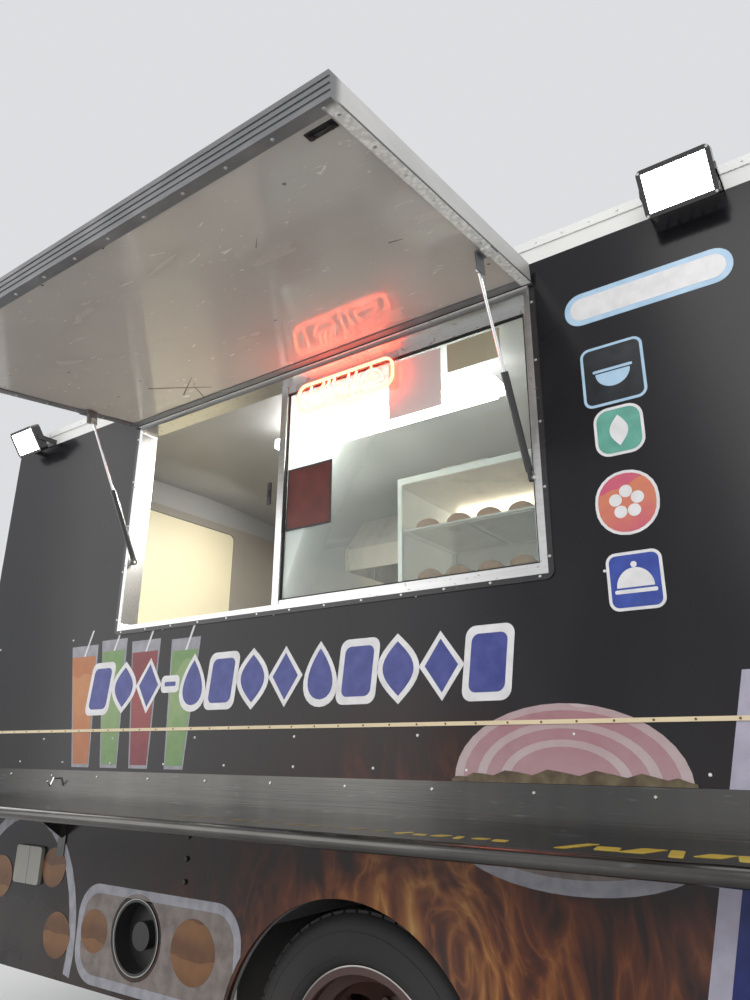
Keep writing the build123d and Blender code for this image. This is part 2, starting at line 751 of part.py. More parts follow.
def leaf_spring(axle_x):
    """Stack of curved leaves, each shorter than the one above it, with an eye at both ends."""
    radius = (spring_half_length ** 2 + spring_sag ** 2) / (2 * spring_sag)
    centre_z = spring_seat_z + spring_leaves * spring_leaf + radius
    y0, y1 = spring_y, spring_y + spring_width
    stack = None
    for leaf in range(spring_leaves):
        inner = radius + leaf * spring_leaf
        half = spring_half_length - leaf * spring_step
        ring = bar((axle_x, y0, centre_z), (axle_x, y1, centre_z), inner + spring_leaf)
        ring -= bar((axle_x, y0, centre_z), (axle_x, y1, centre_z), inner)
        ring &= block(axle_x - half, axle_x + half, y0, y1, 0, centre_z)
        stack = ring if stack is None else stack + ring
    for end in (-1, 1):
        x, z = axle_x + end * spring_half_length, spring_eye_z()
        stack += bar((x, y0, z), (x, y1, z), spring_eye_radius)
        stack -= bar((x, y0, z), (x, y1, z), 12)
    return stack


def leaf_springs():
    springs = leaf_spring(0), leaf_spring(wheelbase)
    return Compound([solid for spring in springs for solid in both_sides(spring).solids()])


def damper(axle_x):
    """Shock absorber behind an axle: tube below, rod and dust cover above, an eye at both ends."""
    x, y, z0, z1 = axle_x - damper_back, damper_y, damper_z0, damper_z1
    middle = (z0 + z1) / 2
    piece = bar((x, y, z0), (x, y, middle), damper_tube_radius)
    piece += bar((x, y, middle - 12), (x, y, z1), damper_cover_radius)
    for z in (z0, z1):
        piece += bar((x, y - damper_eye_half, z), (x, y + damper_eye_half, z), damper_eye_radius)
    for side in (-1, 1):
        y0, y1 = sorted((y + side * damper_eye_half, y + side * 2 * damper_cover_radius))
        low = z1 - damper_eye_radius - 6
        piece -= block(x - damper_cover_radius, x + damper_cover_radius, y0, y1, low, z1 + 40)
    for z in (z0, z1):
        piece -= bar((x, y - 40, z), (x, y + 40, z), damper_pin_radius + seat_gap)
    return piece & block(x - 40, x + 40, y - 40, y + 40, z0 - damper_eye_radius, z1 + damper_eye_radius)


def damper_foot(axle_x, face_x):
    """Lug and pin on an axle that hold a damper's lower eye."""
    x, z, y0 = axle_x - damper_back, damper_z0, damper_y + damper_eye_half + 1
    lug = block(x - damper_lug, face_x, y0, y0 + damper_lug, z - damper_lug, z + damper_lug)
    return lug + bar((x, damper_y - damper_eye_half - 4, z), (x, y0 + 1, z), damper_pin_radius)


def dampers():
    shocks = damper(0), damper(wheelbase)
    return Compound([solid for shock in shocks for solid in both_sides(shock).solids()])


def front_axle():
    """Dropped I-beam with a boss and kingpin at each end, spring pads and damper lugs."""
    top = tyre_radius - beam_drop + beam_depth / 2
    bottom = top - beam_depth
    half = beam_depth / 2
    beam = block(wheelbase - half, wheelbase + half, -kingpin_y, kingpin_y, bottom, top)
    for side in (-1, 1):
        x0, x1 = sorted((wheelbase + side * half, wheelbase + side * half / 2))
        beam -= block(x0, x1, -kingpin_y + 80, kingpin_y - 80, bottom + 14, top - 14)
    height = kingpin_boss_height / 2
    reach = height + knuckle_ear + 8
    y = kingpin_y
    end = bar((wheelbase, y, tyre_radius - height), (wheelbase, y, tyre_radius + height), kingpin_boss_radius)
    end += bar((wheelbase, y, tyre_radius - reach), (wheelbase, y, tyre_radius + reach), kingpin_radius)
    y0, y1 = spring_y, spring_y + spring_width
    end += block(wheelbase - 60, wheelbase + 60, y0, y1, top - 14, spring_seat_z - seat_gap)
    end += damper_foot(wheelbase, wheelbase)
    return beam + end + mirrored(end)


def rear_axle():
    """Drive axle with its round housing, spring pads, brake plates and propeller shaft."""
    inner_tyre_y = wheel_y - dual_spacing
    hub_y = wheel_y - disc_offset
    z = tyre_radius
    piece = bar((0, 0, z), (0, inner_tyre_y - drum_length / 2, z), axle_tube_radius)
    piece += bar((0, 0, z), (0, hub_y + hub_length - 24, z), spindle_radius)
    plate_y = inner_tyre_y - drum_length / 2
    piece += bar((0, plate_y - 8, z), (0, plate_y, z), drum_radius)
    y0, y1 = spring_y, spring_y + spring_width
    piece += block(-60, 60, y0, y1, z, spring_seat_z - seat_gap) + damper_foot(0, 0)
    piece += mirrored(piece)
    housing = Pos(0, 0, z) * Rot(0, 90, 0) * Cylinder(banjo_radius, 150)
    housing = fillet(housing.edges(), 45)
    piece += housing + bar((0, 0, z), (230, 0, z), 60)
    return piece + bar((200, 0, z), (engine_x0 - 2.5, 0, engine_z0 + 90), 38)


def wheel_profile():
    """Half section of a steel rim, as (radius, distance from its middle) points."""
    half, lip, seat, well, metal = rim_width / 2, rim_lip_radius, bead_radius, rim_well_radius, rim_metal
    outer = [(lip, half), (lip, half - metal), (seat, half - 12), (seat, half - 40), (well, half - 62)]
    outer += [(radius, -distance) for radius, distance in reversed(outer)]
    inner = [(radius - metal, distance) for radius, distance in reversed(outer)]
    inner[0] = seat - metal, -half
    inner[-1] = seat - metal, half
    return outer + inner


def disc_wheel(centre_y, face):
    """Rim with a dished disc: face is 1 where the dish points outward, -1 where it points in."""
    rim = turned(wheel_profile(), 0, centre_y, tyre_radius)
    mount = face * (disc_offset + disc_metal / 2)
    back = mount - face * disc_metal
    well = rim_well_radius - rim_metal / 2
    dish = [(hub_radius - 30, mount), (hub_radius + 60, mount), (well, face * 34), (well, face * 14),
            (hub_radius + 52, back), (hub_radius - 30, back)]
    wheel = rim + turned(dish, 0, centre_y, tyre_radius)
    y0, y1 = sorted((centre_y, centre_y + 1.2 * mount))
    holes = PolarLocations(hand_hole_circle, 8)
    for spot in holes:
        x, z = spot.position.X, tyre_radius + spot.position.Y
        wheel -= bar((x, y0, z), (x, y1, z), hand_hole_radius)
    return wheel


def studs(face_y, reach):
    """Ring of wheel studs with nuts."""
    ring = []
    for spot in PolarLocations(stud_circle, 8, start_angle=22.5):
        x, z = spot.position.X, tyre_radius + spot.position.Y
        ring.append(bar((x, face_y - reach, z), (x, face_y + reach, z), stud_radius))
    return ring


def hub(start_y, face_y):
    """Hub and brake drum behind the wheel's mounting face, bored for the spindle."""
    end_y = face_y + hub_length
    profile = [
        (spindle_radius + running_gap, start_y), (drum_radius - 30, start_y), (drum_radius, start_y),
        (drum_radius, start_y + drum_length), (hub_radius, start_y + drum_length + 12),
        (hub_radius, face_y), (hub_radius - 30.5, face_y), (hub_radius - 34, end_y - 12),
        (hub_radius - 44, end_y), (spindle_radius + running_gap, end_y),
    ]
    return turned(profile, 0, 0, tyre_radius)


def front_wheel():
    face_y = wheel_y + disc_offset + disc_metal / 2
    inner_y = kingpin_y + kingpin_boss_radius + 46.0 + 6.0
    wheel = disc_wheel(wheel_y, 1) + hub(inner_y, face_y - disc_metal)
    wheel += bar((0, face_y + hub_length - disc_metal - 14, tyre_radius),
                 (0, face_y + hub_length - disc_metal - 4, tyre_radius), hub_radius - 46)
    for stud in studs(face_y - disc_metal / 2, stud_length / 2):
        wheel += stud
    return Pos(wheelbase, 0, 0) * wheel


def rear_wheel():
    """Twin discs back to back on one hub."""
    face_y = wheel_y - disc_offset + disc_metal / 2
    inner_y = wheel_y - dual_spacing
    wheel = disc_wheel(wheel_y, -1) + disc_wheel(inner_y, 1)
    start_y = inner_y - drum_length / 2 + door_clearance
    wheel += hub(start_y, face_y - 2 * disc_metal)
    end_y = face_y - 2 * disc_metal + hub_length
    wheel += bar((0, end_y - 2, tyre_radius), (0, end_y + 34, tyre_radius), hub_radius - 36)
    for stud in studs(face_y - disc_metal, stud_length / 2 + disc_metal):
        wheel += stud
    return wheel


def tyre(x, centre_y):
    """Road tyre with a flat tread, drawn-in beads and its hollow inside."""
    half, tread = tyre_width / 2, tread_width / 2
    bead, bead_y, wide_radius = bead_radius + seat_gap, rim_width / 2 - rim_metal - 8, 335.0
    outer = [
        (bead, bead_y), (bead + 16, bead_y + 2), (bead + 34, half - 10), (wide_radius, half),
        (tyre_radius - 34, half - 7), (tyre_radius - shoulder_drop, tread), (tyre_radius, tread - 22),
    ]
    inner = [(bead, bead_y - 22), (bead + 40, half - 28), (wide_radius, half - 14)]
    inner.append((tyre_radius - 28, tread - 22))
    profile = outer + [(radius, -distance) for radius, distance in reversed(outer)]
    profile += [(radius, -distance) for radius, distance in inner] + inner[::-1]
    return turned(profile, x, centre_y, tyre_radius)


def knuckle():
    """Steering knuckle: two ears on the kingpin, a spindle and a round brake plate."""
    x, z, y = wheelbase, tyre_radius, kingpin_y
    gap = 2.0
    low = kingpin_boss_height / 2 + gap
    piece = None
    for side in (-1, 1):
        z0, z1 = sorted((z + side * low, z + side * (low + knuckle_ear)))
        ear = bar((x, y, z0), (x, y, z1), kingpin_boss_radius)
        ear += block(x - kingpin_boss_radius, x + kingpin_boss_radius, y, y + 46, z0, z1)
        piece = ear if piece is None else piece + ear
    back_y = y + kingpin_boss_radius + 6
    plate_y = y + kingpin_boss_radius + 46
    top = low + knuckle_ear
    piece += block(x - kingpin_boss_radius, x + kingpin_boss_radius, back_y, plate_y, z - top, z + top)
    piece -= bar((x, y, z - 2 * top), (x, y, z + 2 * top), kingpin_radius + running_gap)
    piece += bar((x, plate_y - 6, z), (x, plate_y, z), drum_radius)
    spindle_end = wheel_y + disc_offset + hub_length - 24
    return piece + bar((x, plate_y - 20, z), (x, spindle_end, z), spindle_radius)


# Serving window, awning, struts and shelf


def serving_frame():
    """Aluminium frame of the serving window with its mullion, sash, hinge and strut pins."""
    outside = -body_half_width
    inner = window_x0 + liner, window_x1 - liner, window_z0 + liner, window_z1 - liner
    inner_radius = window_radius - liner
    frame = through_side(
        window_x0 - flange_width, window_x1 + flange_width, window_z0 - flange_width,
        window_z1 + flange_width, window_radius, outside - flange_depth, outside,
    )
    frame += through_side(
        window_x0, window_x1, window_z0, window_z1, window_radius, outside, outside + liner_depth,
    )
    frame -= through_side(*inner, inner_radius, outside - wall, outside + 2 * liner_depth)
    y0, y1 = outside + sash_back, outside + sash_back + sash_depth
    frame += block(mullion_x, mullion_x + mullion_width, y0 - 4, y1, inner[2] - 1, inner[3] + 1)
    sash = block(mullion_x + mullion_width - 1, inner[1] + 1, y0, y1, inner[2] - 1, inner[3] + 1)
    sash -= block(mullion_x, inner[1] - sash_width, y0, y1, inner[2] + sash_width, inner[3] - sash_width)
    y = outside - hinge_out
    frame += sash + bar((awning_x0, y, hinge_z), (awning_x1, y, hinge_z), hinge_barrel_radius)
    y = outside - strut_foot_out
    for x, jamb_x in zip(strut_places(), (window_x0 + liner, window_x1 - liner)):
        side = 1 if jamb_x > x else -1
        frame += bar((jamb_x, y, strut_foot_z), (x - side * strut_eye_thickness / 2, y, strut_foot_z),
                     strut_pin_radius)
        frame += bar((jamb_x, y, strut_foot_z), (jamb_x - side * 10, y, strut_foot_z), strut_eye_radius)
    return frame


def strut_places():
    """Where the two struts stand along the truck, the aft one first."""
    return window_x0 + strut_inset, window_x1 - strut_inset


def awning_pose():
    """From the awning's own frame, hinge line at its origin and panel towards -Y, to the truck."""
    return Pos(0, -body_half_width - hinge_out, hinge_z) * Rot(awning_droop, 0, 0)


def awning_frame():
    """Grooved border of the awning, with a lug for each strut's rod."""
    y0, y1 = -awning_length, -hinge_backset
    frame = block(awning_x0, awning_x1, y0, y1, 0, awning_depth)
    width = awning_frame_width
    frame -= block(awning_x0 + width, awning_x1 - width, y0 + width, y1 - width, 0, awning_depth)
    for share in (0.25, 0.5, 0.75):
        z = share * awning_depth
        groove = z - awning_groove / 2, z + awning_groove / 2
        frame -= block(awning_x0, awning_x1, y0, y0 + awning_groove_depth, *groove)
    for x, edge_x in zip(strut_places(), (awning_x0, awning_x1)):
        side = 1 if edge_x > x else -1
        lug_x = x + side * (strut_eye_thickness / 2 + 0.5)
        x0, x1 = sorted((lug_x, lug_x + side * strut_lug_thickness))
        along, half = -strut_head_along, strut_lug_width / 2
        frame += block(x0, x1, along - half, along + half, -strut_head_below - half / 2, 0)
        x0, x1 = sorted((lug_x, edge_x))
        frame += block(x0, x1, along - half, along + half, -strut_lug_thickness, 0)
    return awning_pose() * frame


def awning_panel():
    """Flat sandwich panel inside the awning's border."""
    width, recess = awning_frame_width, awning_panel_recess
    y0, y1 = -awning_length + width, -hinge_backset - width
    x0, x1 = awning_x0 + width, awning_x1 - width
    return awning_pose() * block(x0, x1, y0, y1, recess, awning_depth - recess)


def strut_geometry():
    """Each strut's foot and open head as (out, z), and the same head with the awning closed."""
    foot = strut_foot_out, strut_foot_z

    def head(angle):
        along, below = math.radians(angle), strut_head_below
        out = strut_head_along * math.cos(along) - below * math.sin(along)
        drop = strut_head_along * math.sin(along) + below * math.cos(along)
        return hinge_out + out, hinge_z - drop

    return foot, head(awning_droop), head(90.0)


def strut_plane(x):
    """Frame at a strut's foot with its z along the open strut and its x along the truck."""
    foot, head, _ = strut_geometry()
    along = (0, -(head[0] - foot[0]), head[1] - foot[1])
    return Plane(origin=(x, -body_half_width - foot[0], foot[1]), x_dir=(1, 0, 0), z_dir=along)


def strut_length():
    foot, head, _ = strut_geometry()
    return math.hypot(head[0] - foot[0], head[1] - foot[1])


def eye(distance):
    """Flat round eye of a strut, at a distance from its foot."""
    return Pos(0, 0, distance) * Rot(0, 90, 0) * Cylinder(strut_eye_radius, strut_eye_thickness)


def strut_tube(x):
    """Gas strut cylinder, open at its upper end for the rod."""
    low = strut_eye_radius / 2
    tube = Pos(0, 0, low) * Cylinder(strut_tube_radius, strut_tube_length - low,
                                     align=(Align.CENTER, Align.CENTER, Align.MIN))
    tube = eye(0) + tube
    tube -= Rot(0, 90, 0) * Cylinder(strut_pin_radius + running_gap, 4 * strut_tube_radius)
    depth = strut_tube_length - strut_tube_floor
    tube -= Pos(0, 0, strut_tube_floor) * Cylinder(strut_rod_radius + seat_gap, depth + 1,
                                                   align=(Align.CENTER, Align.CENTER, Align.MIN))
    relief = strut_eye_thickness / 2
    for side in (-1, 1):
        x0, x1 = sorted((side * relief, side * 2 * strut_tube_radius))
        tube -= block(x0, x1, -50, 50, -50, 1.6 * strut_eye_radius)
    return strut_plane(x) * tube


def strut_rod(x):
    """Gas strut rod with the eye that sits beside the awning's lug."""
    start = strut_tube_length - strut_rod_overlap
    length = strut_length()
    rod = Pos(0, 0, start) * Cylinder(strut_rod_radius, length - start - strut_eye_radius / 2,
                                      align=(Align.CENTER, Align.CENTER, Align.MIN))
    relief = strut_eye_thickness / 2
    neck = strut_lug_width / 2 + strut_rod_radius
    rod += eye(length)
    for side in (-1, 1):
        x0, x1 = sorted((side * relief, side * 2 * strut_tube_radius))
        rod -= block(x0, x1, -50, 50, length - neck, length + 50)
    return strut_plane(x) * rod


def serving_shelf():
    """Folded steel shelf with an upstand, a rolled front edge and its brackets."""
    roll, sheet = shelf_roll_radius, shelf_sheet
    edge = shelf_reach - roll
    top = shelf_z - sheet
    profile = Pos(sheet / 2, (top + shelf_upstand_z) / 2) * Rectangle(sheet, shelf_upstand_z - top)
    profile += Pos(edge / 2, shelf_z - sheet / 2) * Rectangle(edge, sheet)
    nose = Pos(edge, shelf_z - roll) * (Circle(roll) - Circle(roll - sheet))
    profile += nose & Pos(edge + roll, shelf_z - roll) * Rectangle(2 * roll, 3 * roll)
    low = shelf_z - 2 * roll
    profile += Pos(edge - roll / 2, low + sheet / 2) * Rectangle(roll, sheet)
    plane = Plane(origin=(shelf_x1, -body_half_width, 0), x_dir=(0, -1, 0), z_dir=(-1, 0, 0))
    shelf = extrude(plane * profile, shelf_x1 - shelf_x0)
    outside = -body_half_width
    for x0 in bracket_x:
        x1 = x0 + bracket_width
        shelf += block(x0, x1, outside - bracket_metal, outside, bracket_bottom_z, top)
        shelf += block(x0, x1, outside - bracket_reach, outside, top - bracket_metal, top)
        gusset = [(outside, bracket_bottom_z + 60), (outside, top), (outside - 200, top)]
        middle = (x0 + x1) / 2
        shelf += along_truck(gusset, middle - bracket_metal / 2, middle + bracket_metal / 2)
    return shelf


def side_fittings():
    """Fuel filler cup with its cap and pipe, and the cover of an outlet box."""
    x, z, outside = filler_x, filler_z, -body_half_width
    floor_y = outside + filler_depth
    cup = bar((x, outside - 3, z), (x, floor_y, z), filler_radius - seat_gap)
    cup -= bar((x, outside - 4, z), (x, floor_y - 4, z), filler_radius - filler_rim)
    cup += bar((x, floor_y - 42, z), (x, floor_y - 4, z), filler_cap_radius)
    cup += bar((x, floor_y, z), (x, tank_y0 - seat_gap, z), filler_pipe_radius)
    cover = through_side(outlet_x0, outlet_x1, outlet_z0, outlet_z1, 12, outside - outlet_depth, outside)
    return Compound(cup.solids() + cover.solids())


def neon_sign():
    """Blank back plate with a plain ring of glass tube, hung from the window's head."""
    y1 = -body_half_width + sign_back
    y0 = y1 - sign_plate
    inset, tube = sign_inset, sign_tube
    sign = through_side(sign_x0, sign_x1, sign_z0, sign_z1, 12, y0, y1)
    x0, x1, z0, z1 = sign_x0 + inset, sign_x1 - inset, sign_z0 + inset, sign_z1 - inset
    ring = through_side(x0, x1, z0, z1, 40, y0 - tube, y0)
    ring -= through_side(x0 + tube, x1 - tube, z0 + tube, z1 - tube, 40 - tube, y0 - tube, y0)
    top = window_z1 - liner - seat_gap
    for x in (sign_x0 + 60, sign_x1 - 60):
        sign += block(x - 8, x + 8, y0, y1, sign_z1 - 10, top)
    return sign + ring


# Kitchen


def counter():
    """Steel counter along the serving window, open below."""
    y0 = -wall_inner_y + counter_gap
    y1 = y0 + counter_depth
    x0, x1 = counter_x0, counter_x1
    piece = block(x0, x1, y0, y1, counter_z - worktop, counter_z)
    return piece + under_counter(x0, x1, y0 + bench_metal, y1 - bench_metal, counter_z - worktop)


def under_counter(x0, x1, y0, y1, top):
    """Low shelf and four upright sheets that carry a worktop."""
    piece = block(x0, x1, y0, y1, kitchen_shelf_z, kitchen_shelf_z + kitchen_shelf)
    for x in (x0, *kitchen_leg_x, x1 - kitchen_leg):
        piece += block(x, x + kitchen_leg, y0, y1, floor_top, top)
    return piece


def kitchen_line():
    """Steel bench, splash sheet and extraction hood along the street side, with the hood's duct."""
    y1 = wall_inner_y
    y0 = y1 - bench_depth
    x0, x1 = bench_x0, bench_x1
    piece = block(x0, x1, y0, y1, bench_z - worktop, bench_z)
    piece += under_counter(x0, x1, y0 + bench_metal, y1 - bench_metal, bench_z - worktop)
    piece += block(x0, x1, y1 - bench_metal, y1, kitchen_shelf_z, hood_z1)
    front = y1 - hood_depth
    metal = hood_metal
    slope_z, slope_y = hood_z0 + hood_lip, front + hood_slope
    outer = [(y1, hood_z0), (front, hood_z0), (front, slope_z), (slope_y, hood_z1), (y1, hood_z1)]
    inner = [
        (y1 - bench_metal, hood_z0 - 1), (front + metal, hood_z0 - 1), (front + metal, slope_z - 4),
        (slope_y + metal, hood_z1 - metal), (y1 - bench_metal, hood_z1 - metal),
    ]
    piece += along_truck(outer, hood_x0, hood_x1)
    piece -= along_truck(inner, hood_x0 + metal, hood_x1 - metal)
    piece += duct_space(duct_half - seat_gap, hood_z1 - metal, fan_curb_z)
    piece -= duct_space(duct_half - seat_gap - duct_metal, hood_z0, far)
    return Compound(piece.solids() + griddle().solids() + gas_range().solids())


def cooker(x0, x1):
    """Steel body of an appliance on four feet, and the height of its top."""
    z0, z1 = bench_z + cooker_foot, bench_z + cooker_foot + cooker_height
    body = block(x0, x1, cooker_y0, cooker_y1, z0, z1)
    for x in (x0 + 60, x1 - 60):
        for y in (cooker_y0 + 60, cooker_y1 - 60):
            body += bar((x, y, bench_z), (x, y, z0), cooker_foot_radius)
    return body, z1


def griddle():
    """Flat griddle: sunk plate, grease trough along the front and a guard round the other sides."""
    x0, x1, y0, y1, metal = griddle_x0, griddle_x1, cooker_y0, cooker_y1, cooker_metal
    body, top = cooker(x0, x1)
    front = y0 + griddle_trough
    guard = block(x0, x1, front, y1, top, top + griddle_guard)
    guard -= block(x0 + metal, x1 - metal, front - 1, y1 - metal, top, top + griddle_guard)
    slope = [(front, top), (front, top + griddle_guard + 1), (front + griddle_guard, top + griddle_guard + 1)]
    body += guard - along_truck(slope, x0 - 1, x1 + 1)
    body -= block(x0 + metal, x1 - metal, front, y1 - metal, top - griddle_plate_drop, top)
    return body - block(x0 + metal, x1 - metal, y0 + metal, front, top - 4 * griddle_plate_drop, top)


def gas_range():
    """Four ring burners in a sunk top, each below a crossed grate."""
    x0, x1, y0, y1, metal = range_x0, range_x1, cooker_y0, cooker_y1, cooker_metal
    body, top = cooker(x0, x1)
    body -= block(x0 + metal, x1 - metal, y0 + 3 * metal, y1 - metal, top - grate_height, top)
    floor_z = top - grate_height
    half = grate_bar / 2
    for x in (x0 + (x1 - x0) / 4, x1 - (x1 - x0) / 4):
        for y in (y0 + (y1 - y0) / 4 + metal, y1 - (y1 - y0) / 4 - metal):
            burner = bar((x, y, floor_z), (x, y, floor_z + burner_height), burner_radius)
            body += burner - bar((x, y, floor_z), (x, y, floor_z + burner_height), burner_radius / 2)
            for along, across in ((grate_half, half), (half, grate_half)):
                body += block(x - along, x + along, y - across, y + across, floor_z + burner_height, top)
            foot = grate_half - half
            for dx, dy in ((foot, 0), (-foot, 0), (0, foot), (0, -foot)):
                a, b = x + dx, y + dy
                body += block(a - half, a + half, b - half, b + half, floor_z, top)
    return body


def display_cabinet():
    """Warming cabinet on the counter: base, four posts, a shelf and a top."""
    x0, x1, y0, y1 = cabinet_x0, cabinet_x1, cabinet_y0, cabinet_y1
    z0, z1 = counter_z, counter_z + cabinet_height
    post = cabinet_post
    piece = block(x0, x1, y0, y1, z0, z0 + cabinet_base) + block(x0, x1, y0, y1, z1 - 22, z1)
    piece += block(x0, x1, y1 - 4, y1, z0, z1)
    middle = (z0 + cabinet_base + z1) / 2
    piece += block(x0, x1, y0 + post, y1, middle - 3, middle + 3)
    for x in (x0, x1 - post):
        for y in (y0, y1 - post):
            piece += block(x, x + post, y, y + post, z0, z1)
    return piece


def ceiling_lamp():
    """Long tube lamp hung from the roof by two stems."""
    y, z = lamp_y, lamp_z
    lamp = block(lamp_x0, lamp_x1, y - 60, y + 60, z, z + 45)
    for side in (-1, 1):
        tube_y = y + side * 28
        lamp += bar((lamp_x0 + 25, tube_y, z - 8), (lamp_x1 - 25, tube_y, z - 8), 16)
    for x in (lamp_x0 + 200, lamp_x1 - 200):
        lamp += bar((x, y, z + 40), (x, y, eave_z + crown_rise), 6)
    return lamp & envelope(wall + seat_gap, skirt_z - 50)


def roof_fan():
    """Upblast exhaust fan: hollow curb on the roof, base plate, spun base, drum and cap."""
    half, z = fan_curb / 2, fan_curb_z
    curb = duct_space(half, eave_z - 50, z - fan_plate) - duct_space(half - fan_curb_metal, 0, far)
    curb -= envelope(-seat_gap)
    plate = duct_space(half + fan_plate_lip, z - fan_plate, z) - duct_space(duct_half, 0, far)
    wide, drum_radius_out, top = fan_skirt_radius, fan_drum_radius, z + fan_drum_height
    drum = [
        (duct_half, z), (half, z), (half - 30, z + 20), (wide, z + 120), (wide, z + 150),
        (drum_radius_out, z + 158), (drum_radius_out, top - 78), (drum_radius_out - 30, top - 38),
        (120, top - 6), (0, top), (0, top - 28), (110, top - 32), (drum_radius_out - 38, top - 60),
        (drum_radius_out - 20, top - 78), (drum_radius_out - 20, z + 150), (235, z + 120),
        (duct_half, z + 20),
    ]
    plane = Plane(origin=(fan_x, fan_y, 0), x_dir=(1, 0, 0), z_dir=(0, -1, 0))
    spun = revolve(plane * make_face(Polyline(*drum, close=True)), Axis((fan_x, fan_y, 0), (0, 0, 1)))
    return Compound(curb.solids() + plate.solids() + spun.solids())


# Cab and powertrain


def engine_block():
    half = engine_half_width
    return block(engine_x0, engine_x1, -half, half, engine_z0, engine_z1)


def engine_cover():
    """Rounded cover over the engine, open at the floor and towards the grille."""
    half, metal = cover_half_width, cover_metal
    cover = block(cover_x0, cover_x1, -half, half, floor_top, cover_top_z)
    edges = cover.edges().filter_by(Axis.X).sort_by(Axis.Z)[-2:]
    edges += cover.edges().filter_by(Axis.Y).group_by(Axis.X)[0].sort_by(Axis.Z)[-1:]
    cover = fillet(edges, 60)
    top = cover_top_z - metal
    inner = block(cover_x0 + metal, cover_x1 + 1, metal - half, half - metal, floor_top - 1, top)
    edges = inner.edges().filter_by(Axis.X).sort_by(Axis.Z)[-2:]
    return cover - fillet(edges, 60 - metal)


def dashboard():
    """Dash across the cab with the steering column and wheel."""
    half, metal = body_half_width, dash_metal
    x, low, top, brow = dash_x, dash_z0, dash_z1, dash_z0 + 120
    profile = [(x + 50, low), (x, brow), (x + 30, top - 40), (x + 110, top), (far, top), (far, low)]
    hollow = [(x + 70, low - 1), (x + 22, brow), (x + 47, top - 55), (x + 118, top - metal)]
    piece = across_truck(profile, -half, half) & envelope(wall, skirt_z - 50)
    inside = across_truck(hollow + [(far, top - metal), (far, low - 1)], -half, half)
    piece -= inside & envelope(wall + metal, skirt_z - 60)
    foot, head = (x + 70, steering_y, brow - 10), (x - 290, steering_y, top + 110)
    piece += bar(foot, head, 26)
    rim = Plane(origin=head, z_dir=Vector(*head) - Vector(*foot))
    return piece + rim * Torus(steering_radius, steering_rim_radius) + spokes(rim)


def spokes(rim):
    """Three flat spokes of the steering wheel."""
    spoke = None
    for turn in (90, 210, 330):
        arm = Rot(0, 0, turn) * Pos(steering_radius / 2, 0, 0) * Box(steering_radius, 34, 8)
        spoke = arm if spoke is None else spoke + arm
    return rim * (spoke + Cylinder(55, 24))


def driver_seat():
    """Driver's seat with a pedestal, cushion, raked back and headrest."""
    x, y, z = seat_x, seat_y, seat_z
    seat = block(x + 60, x + 330, y - 150, y + 150, floor_top, z)
    cushion = block(x, x + 480, y - 220, y + 220, z, z + 110)
    seat += fillet(cushion.edges().filter_by(Axis.Y), 35)
    back = fillet(Box(110, 440, 600).edges().filter_by(Axis.Y), 35)
    seat += Pos(x + 10, y, z + 370) * Rot(0, -8, 0) * back
    head = fillet(Box(85, 260, 170).edges().filter_by(Axis.Y), 30)
    return seat + Pos(x - 50, y, z + 730) * Rot(0, -8, 0) * head


def fuel_tank():
    """Rectangular tank hung from the floor by two straps."""
    tank = block(tank_x0, tank_x1, tank_y0, tank_y1, tank_z0, tank_z1)
    tank = fillet(tank.edges().filter_by(Axis.X), 40)
    for x in (tank_x0 + 150, tank_x1 - 200):
        strap = block(x, x + 50, tank_y0 - 5, tank_y1 + 5, tank_z0 - 5, rail_top_z)
        tank += fillet(strap.edges().filter_by(Axis.X).sort_by(Axis.Z)[:2], 42)
    return tank


def exhaust():
    """Exhaust pipe from the engine, through a muffler, to the street side ahead of the rear wheels."""
    z, y = exhaust_z, exhaust_y
    port_x = engine_x0 + 80
    route = [(port_x, 180, engine_z0), (port_x, 180, z), (port_x - 560, y, z), (900, y, z)]
    route.append((640, wall_inner_y + 40, z))
    piece = None
    for start, end in zip(route, route[1:]):
        run = bar(start, end, exhaust_radius) + Pos(*start) * Sphere(exhaust_radius)
        piece = run if piece is None else piece + run
    piece -= block(port_x - 160, port_x + 140, 0, 400, engine_z0, far)
    piece += bar((1500, y, z), (2350, y, z), muffler_radius)
    for x in (1600.0, 2200.0):
        piece += block(x, x + 30, y - 4, y + 4, z, rail_top_z)
    return piece


# Doors


def cab_door():
    """Sliding cab door of the left side, inside the wall, hung from its track."""
    x0, x1 = cab_door_x0 - cab_door_overlap, cab_door_x1 + cab_door_overlap
    z0, z1 = cab_door_z0 - cab_door_overlap, cab_door_z1 + cab_door_overlap / 2
    y0, y1 = cab_door_y, cab_door_y + cab_door_thickness
    door = through_side(x0, x1, z0, z1, cab_door_radius, y0, y1)
    door -= through_side(*cab_window(0), y0 - 1, y1 + 1)
    grip_x, grip_z = cab_door_x1 - 70, 1350.0
    door -= through_side(grip_x - 30, grip_x + 30, grip_z - 80, grip_z + 80, 20, y1 - 20, y1 + 1)
    door += block(grip_x - 7, grip_x + 7, y1 - 6, y1 - 1, grip_z - 81, grip_z + 81)
    for x in (x0 + 90, x1 - 90):
        door += block(x - 40, x + 40, y0, y1, z1, track_z - seat_gap)
    return door


def cab_window(gap):
    """Outline of the cab door's window, drawn in by a gap."""
    x0, x1 = cab_door_x0 + cab_door_stile, cab_door_x1 - cab_door_stile
    return x0 + gap, x1 - gap, cab_window_z0 + gap, cab_window_z1 - gap, 60


def cab_door_glass():
    y = cab_door_y + (cab_door_thickness - glass_thickness) / 2
    return through_side(*cab_window(seat_gap), y, y + glass_thickness)


